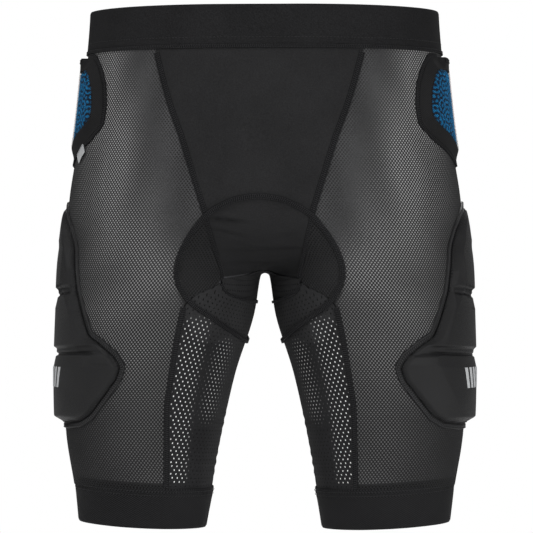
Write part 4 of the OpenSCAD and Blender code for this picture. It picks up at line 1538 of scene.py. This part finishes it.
@dataclass
class SeatPad:
    """The seat pad inside the shell, and the seam that sews it through."""

    top: float = -3.2
    foam: float = 7.0
    edge_foam: float = 1.2
    inset: float = 0.92
    under: tuple = (-112, -135, -158, -180, -202, -225, -248)
    rows: int = 150
    cols: int = 88

    def edge(self) -> Array:
        """Points along the left edge, from the front over the inner thigh to the back."""
        front = np.array(PATTERN.seat_front, float)
        back = np.array(PATTERN.seat_back, float)[::-1]
        a = np.array(self.under, float)
        parts = [BODY.face(front[:, 1], front[:, 0], Way.FRONT), BODY.leg(a, PATTERN.under_z(a)),
                 BODY.face(back[:, 1], back[:, 0], Way.BACK)]
        return np.concatenate(parts)

    def middle(self) -> Array:
        """Points down the centre line, one for each point of the edge."""
        shell = Shell()
        count = len(self.under)
        front = np.array([z for z, _ in PATTERN.seat_front[:4]], float)
        back = np.array([z for z, _ in PATTERN.seat_back[:5]], float)[::-1]
        under = np.stack([np.zeros(count), np.linspace(-12, 32, count), np.full(count, shell.crotch_z)], -1)
        t = np.array([1.0, 2.0]) / 3.0
        return np.concatenate([
            BODY.face(np.zeros(4), front, Way.FRONT), shell.spine(t, Way.FRONT), BODY.snap(under),
            shell.spine(t[::-1], Way.BACK), BODY.face(np.zeros(5), back, Way.BACK),
        ])

    def smooth(self, path: Array, count: int) -> Array:
        """Runs a smooth curve through points."""
        return curve_at(path, np.linspace(0.0, len(path) - 1.001, count))

    def grid(self, share: float) -> Array:
        """Rows from the left edge to the right one, at a share of the full size."""
        edge, middle = self.smooth(self.edge(), self.rows), self.smooth(self.middle(), self.rows)
        k = np.linspace(-1.0, 1.0, self.cols + 1)
        return Shell().bowed(middle + (edge - middle) * share, middle, k)

    def depth(self, v: Array, k: Array) -> Array:
        """Thickness of the foam: full in the middle, in channelled blocks."""
        taper = np.minimum(1.0, 4.5 * np.minimum(v, 1 - v)) * np.minimum(1.0, 2.4 * (1 - np.abs(k)))
        block = self.edge_foam + (self.foam - self.edge_foam) * np.sin(taper * math.pi / 2)
        middle = bump_at(np.abs(k), 0.0, 0.022) * smoothstep((v - 0.16) * 20)
        channel = bump_at(np.abs(k), 0.34, 0.028) + middle
        ring = bump_at(np.hypot((v - 0.5) / 0.42, k / 0.78), 1.0, 0.035)
        return block - np.minimum(0.62 * block, 3.2 * np.maximum(channel, ring) * taper)

    def build(self) -> None:
        """Makes the foam, the cover and the seam."""
        v = np.linspace(0.0, 1.0, self.rows)[:, None]
        k = np.linspace(-1.0, 1.0, self.cols + 1)[None]
        depth = self.depth(v, k)
        foam = slab("seat_pad_foam", self.grid(self.inset), self.top - depth, self.top)
        add_piece(foam, SEAT_FOAM, SHORTS, "seat_pad_foam")
        points = self.grid(1.0)
        # The cover's holes get painted shade throughout, and its yarn a painted sheen down the middle.
        paint = {"light": np.zeros(depth.shape), "haze": smoothstep((0.5 - np.abs(k)) * 8) + 0 * depth}
        cover = slab("seat_pad_cover", points, self.top - depth - 0.9, self.top - depth - 0.3, paint=paint)
        add_piece(cover, SEAT_CLOTH, SHORTS, "seat_pad_cover")
        half = self.smooth(self.edge(), 260)
        top = BODY.face(np.array([0.0]), np.array([PATTERN.seat_top]), Way.FRONT)
        end = BODY.face(np.array([0.0]), np.array([PATTERN.seat_top - 1.0]), Way.BACK)
        loop = np.concatenate([top, half, end, half[::-1] * np.array([-1.0, 1.0, 1.0])])
        loop = self.rounded(loop)
        flatlock("seat_pad_seam", loop, loop=True, lift=1.1, wide=5.0)

    def rounded(self, loop: Array) -> Array:
        """Softens a closed path and puts it back on the body."""
        even = walk(loop, 2.0, True)
        for _ in range(12):
            even = (np.roll(even, 1, 0) + 2 * even + np.roll(even, -1, 0)) / 4
        return BODY.snap(even)


@dataclass
class Cuffs:
    """The folded elastic cuffs, their stitched tops and the grippers inside them."""

    top_r: float = 69.6
    hem_r: float = 63.7
    height: float = 40.0
    thick: float = 1.8
    centre: tuple = (120.3, -7.0, -487.0)
    lean: float = 3.0
    gripper_r: float = 60.8
    gripper_h: float = 14.0
    count: int = 200

    def frame(self) -> Array:
        """The cuff's own axes, as the rows of a matrix."""
        turn = np.array(Matrix.Rotation(math.radians(-self.lean), 3, "Y"))
        return turn.T

    def ring(self, radius: Array, level: Array) -> Array:
        """Closed rows round the cuff's axis, at radii and at levels over its middle."""
        a = np.arange(self.count) * math.tau / self.count
        radius, level = np.atleast_1d(radius)[:, None], np.atleast_1d(level)[:, None]
        local = np.stack([radius * np.cos(a), radius * np.sin(a), level + 0 * a], -1)
        return local @ self.frame() + np.array(self.centre)

    def out(self, p: Array) -> Array:
        """Directions away from the cuff's axis."""
        axis = self.frame()[2]
        off = p - np.array(self.centre)
        return unit(off - np.sum(off * axis, -1, keepdims=True) * axis)

    def radius(self, level: Array) -> Array:
        """The cuff's outer radius at a level."""
        return self.hem_r + (self.top_r - self.hem_r) * (level / self.height + 0.5)

    def place(
        self, name: str, side: Side, level: Array, low: Array, high: Array, **options: object
    ) -> bpy.types.Object:
        """Makes a closed band about the cuff's axis."""
        points = self.ring(self.radius(level), level)
        normals = side.turn(self.out(points))
        return slab(name, side.turn(points), low, high, True, normals=normals, column=0, **options)

    def build(self) -> None:
        """Makes both cuffs."""
        half = self.height / 2
        level = np.array([half, half - 0.5, half - 1.2, *np.linspace(half - 3, 3 - half, 24), 1.6 - half,
                          0.7 - half, -half])
        edge = np.minimum(half - level, half + level)[:, None]
        a = np.arange(self.count)[None] * math.tau / self.count
        round_over = 1.0 - smoothstep(edge / 2.0)
        puckers = 0.22 * np.sin(a * 46) * bump_at(level[:, None], half - 5.0, 3.5)
        slack = 0.7 * np.sin(a * 5 + 0.6) * np.sin(level[:, None] / 13.0 + 0.8 + np.sin(a * 3))
        needles = bump_at(level[:, None], half - 3.0, 0.8) + bump_at(level[:, None], half - 7.0, 0.8)
        channel = -0.45 * needles
        high = -0.75 * round_over + puckers + slack + channel
        low = -self.thick + 0.55 * round_over + 0 * a
        for side in Side:
            name = side.named("cuff")
            cuff = add_piece(self.place(name, side, level, low, high), CUFF, SHORTS, name)
            side.named("gripper")
            self.stitches(side)
            self.gripper(side)

    def stitches(self, side: Side) -> None:
        """Two rows of twin-needle stitches below the cuff's top."""
        name = side.named("cuff_seam")
        thread = Thread(name)
        for down in (3.0, 7.0):
            level = self.height / 2 - down
            path = self.ring(self.radius(np.array([level])), np.array([level]))[0]
            thread.row(path, pitch=3.0, length=2.6, thick=0.6, lift=0.25, loop=True, normals=self.out)
        add_piece(thread.make(side), THREAD, SHORTS, name)

    def gripper(self, side: Side) -> None:
        """The silicone band inside the hem, with wavy ridges."""
        name = side.named("gripper")
        start = 2.0 - self.height / 2
        level = np.linspace(start, start + self.gripper_h, 29)
        a = np.arange(self.count)[None] * math.tau / self.count
        wave = np.sin((level[:, None] + 1.3 * np.sin(a * 24)) * math.tau / 4.6)
        inner = self.gripper_r + 0.5 - 0.5 * smoothstep(wave)
        outer = self.radius(level)[:, None] - self.thick - 0.3
        base = self.radius(level)[:, None]
        piece = self.place(name, side, level, inner - base, outer - base + 0 * a, crease=70.0)
        add_piece(piece, SILICONE, SHORTS, name)


@dataclass
class Labels:
    """The folded side label and the plain care label."""

    root: tuple = (-22.0, -137.0)
    tilt: float = 40.0
    length: float = 16.0
    width: float = 11.0
    lift: float = 1.4

    def side_label(self) -> None:
        """A folded satin tab at the lower front edge of the right hip pocket."""
        o = BODY.leg(np.array([self.root[0]]), np.array([self.root[1]]))
        n = BODY.normal(o)[0]
        across = unit(np.cross(n, (0.0, 0.0, 1.0)))
        up = np.cross(across, n)
        turn = math.radians(self.tilt)
        run = across * math.cos(turn) + up * math.sin(turn)
        out = np.cross(n, run)
        u, v = np.meshgrid(np.linspace(0.5, -0.5, 21) * self.length, np.linspace(0.0, 1.0, 17) * self.width)
        points = BODY.snap(o[0] + u[..., None] * run + v[..., None] * out)
        fold = 1 - smoothstep((self.width - v) / 1.0)
        curl = 0.5 * smoothstep(v / self.width) * np.sin(u / self.length * math.pi + 0.5)
        turned, normals = Side.RIGHT.turn(points), Side.RIGHT.turn(BODY.normal(points))
        low = self.lift + 0.45 * fold + curl
        piece = slab("side_label", turned, low, self.lift + 1.2 - 0.45 * fold + curl, normals=normals)
        add_piece(piece, SATIN, "side_label_body", "side_label")
        thread = Thread("side_label_tack")
        path = BODY.snap(o[0] + np.linspace(-0.45, 0.45, 9)[:, None] * self.length * run + 1.4 * out)
        thread.row(path, pitch=1.8, length=1.4, thick=0.4, lift=self.lift + 1.35)
        add_piece(thread.make(Side.RIGHT), THREAD, "side_label_body")

    def care_label(self) -> None:
        """A blank satin loop sewn inside the back of the waistband."""
        x, z = np.meshgrid(np.linspace(60.0, 30.0, 31), np.linspace(-14.0, -48.0, 35))
        points = BODY.face(x, z, Way.BACK)
        hang = smoothstep((-20.0 - z) / 30.0)
        wave = 0.35 * np.sin(x / 5.0 + z / 14.0) * hang
        low = -5.2 - 0.8 * hang + wave
        fold = 0.25 * (1 - smoothstep((z + 48.0) / 1.2))
        piece = slab("care_label", points, low + fold, low + 0.6 - fold)
        add_piece(piece, CARE, SHORTS, "care_label")
        thread = Thread("care_label_stitches")
        path = BODY.face(np.linspace(32.0, 58.0, 30), np.full(30, -16.0), Way.BACK)
        thread.row(path, pitch=2.6, length=2.0, thick=0.45, lift=-5.25)
        add_piece(thread.make(), THREAD, SHORTS)

    def build(self) -> None:
        """Makes both labels."""
        self.side_label()
        self.care_label()


# ---------------------------------------------------------------- studio


@dataclass
class Studio:
    """The camera, the soft lights and the pale floor."""

    distance: float = 2.8
    height: float = -0.252
    azimuth: float = 3.0
    half_angle: float = 5.42
    aim_x: float = 0.002
    floor_z: float = -0.62

    def camera(self) -> None:
        """A long lens, level with the middle of the shorts."""
        data = bpy.data.cameras.new("camera")
        data.sensor_width = 36.0
        data.lens = data.sensor_width / 2 / math.tan(math.radians(self.half_angle))
        data.clip_end = 50.0
        camera = bpy.data.objects.new("camera", data)
        bpy.context.scene.collection.objects.link(camera)
        a = math.radians(self.azimuth)
        camera.location = (self.distance * math.sin(a), -self.distance * math.cos(a), self.height)
        aim = Vector((self.aim_x, 0.0, self.height)) - camera.location
        camera.rotation_euler = aim.to_track_quat("-Z", "Y").to_euler()
        bpy.context.scene.camera = camera

    def light(self, name: str, place: tuple, size: float, power: float) -> None:
        """A soft square light aimed at the shorts."""
        data = bpy.data.lights.new(name, "AREA")
        data.size = size
        data.energy = power
        lamp = bpy.data.objects.new(name, data)
        bpy.context.scene.collection.objects.link(lamp)
        lamp.location = place
        lamp.rotation_euler = (Vector((0, 0, -0.25)) - lamp.location).to_track_quat("-Z", "Y").to_euler()

    def sky(self) -> None:
        """White surroundings, dimmer as light than as they are seen."""
        world = bpy.data.worlds.new("studio")
        world.use_nodes = True
        nodes = Nodes(world.node_tree)
        world.node_tree.nodes.clear()
        seen = nodes.add("LightPath").outputs["Is Camera Ray"]
        lit = nodes.add("Background", {"Color": (1, 1, 1, 1), "Strength": 0.26})
        shown = nodes.add("Background", {"Color": (1, 1, 1, 1), "Strength": 1.0})
        mixed = nodes.add("MixShader", {0: seen, 1: lit.outputs[0], 2: shown.outputs[0]})
        sink = nodes.add("OutputWorld")
        world.node_tree.links.new(mixed.outputs[0], sink.inputs["Surface"])
        bpy.context.scene.world = world

    def floor(self) -> None:
        """A plain pale floor well below the hems, clear when it is looked at from below."""
        bm = bmesh.new()
        bmesh.ops.create_grid(bm, x_segments=4, y_segments=4, size=0.95)
        bmesh.ops.translate(bm, verts=bm.verts, vec=(0, 0, self.floor_z))
        mesh = bpy.data.meshes.new("floor")
        bm.to_mesh(mesh)
        bm.free()
        piece = bpy.data.objects.new("floor", mesh)
        bpy.context.scene.collection.objects.link(piece)
        material = bpy.data.materials.new("pale floor")
        material.use_nodes = True
        shader = material.node_tree.nodes["Principled BSDF"]
        shader.inputs["Base Color"].default_value = (0.97, 0.97, 0.97, 1)
        shader.inputs["Roughness"].default_value = 1.0
        shader.inputs["Specular IOR Level"].default_value = 0.0
        nodes = Nodes(material.node_tree)
        seen = nodes.math("SUBTRACT", 1.0, nodes.add("NewGeometry").outputs["Backfacing"])
        nodes.tree.links.new(seen, shader.inputs["Alpha"])
        mesh.materials.append(material)

    def build(self) -> None:
        """Sets the whole studio."""
        self.camera()
        self.sky()
        self.floor()
        self.light("key", (-1.2, -1.6, 1.9), 1.3, 37.0)
        self.light("fill", (1.3, -2.3, -0.1), 1.4, 34.0)
        self.light("left side", (2.3, -0.4, 0.4), 1.2, 3.5)
        self.light("right side", (-2.3, -0.4, 0.4), 1.2, 3.5)
        self.light("back", (0.4, 2.0, 1.8), 1.8, 44.0)
        bpy.context.scene.view_settings.view_transform = "Standard"


def main() -> None:
    """Builds the studio and every sub-assembly in order."""
    logging.basicConfig(level=logging.INFO, format="%(name)s %(message)s", stream=sys.stdout)
    Studio().build()
    parts = (Waistband(), Shell(), HipPockets(), TailbonePocket(), ThighPads(), SeatPad(), Cuffs(), Labels())
    for part in parts:
        part.build()


if __name__ == "__main__":
    main()
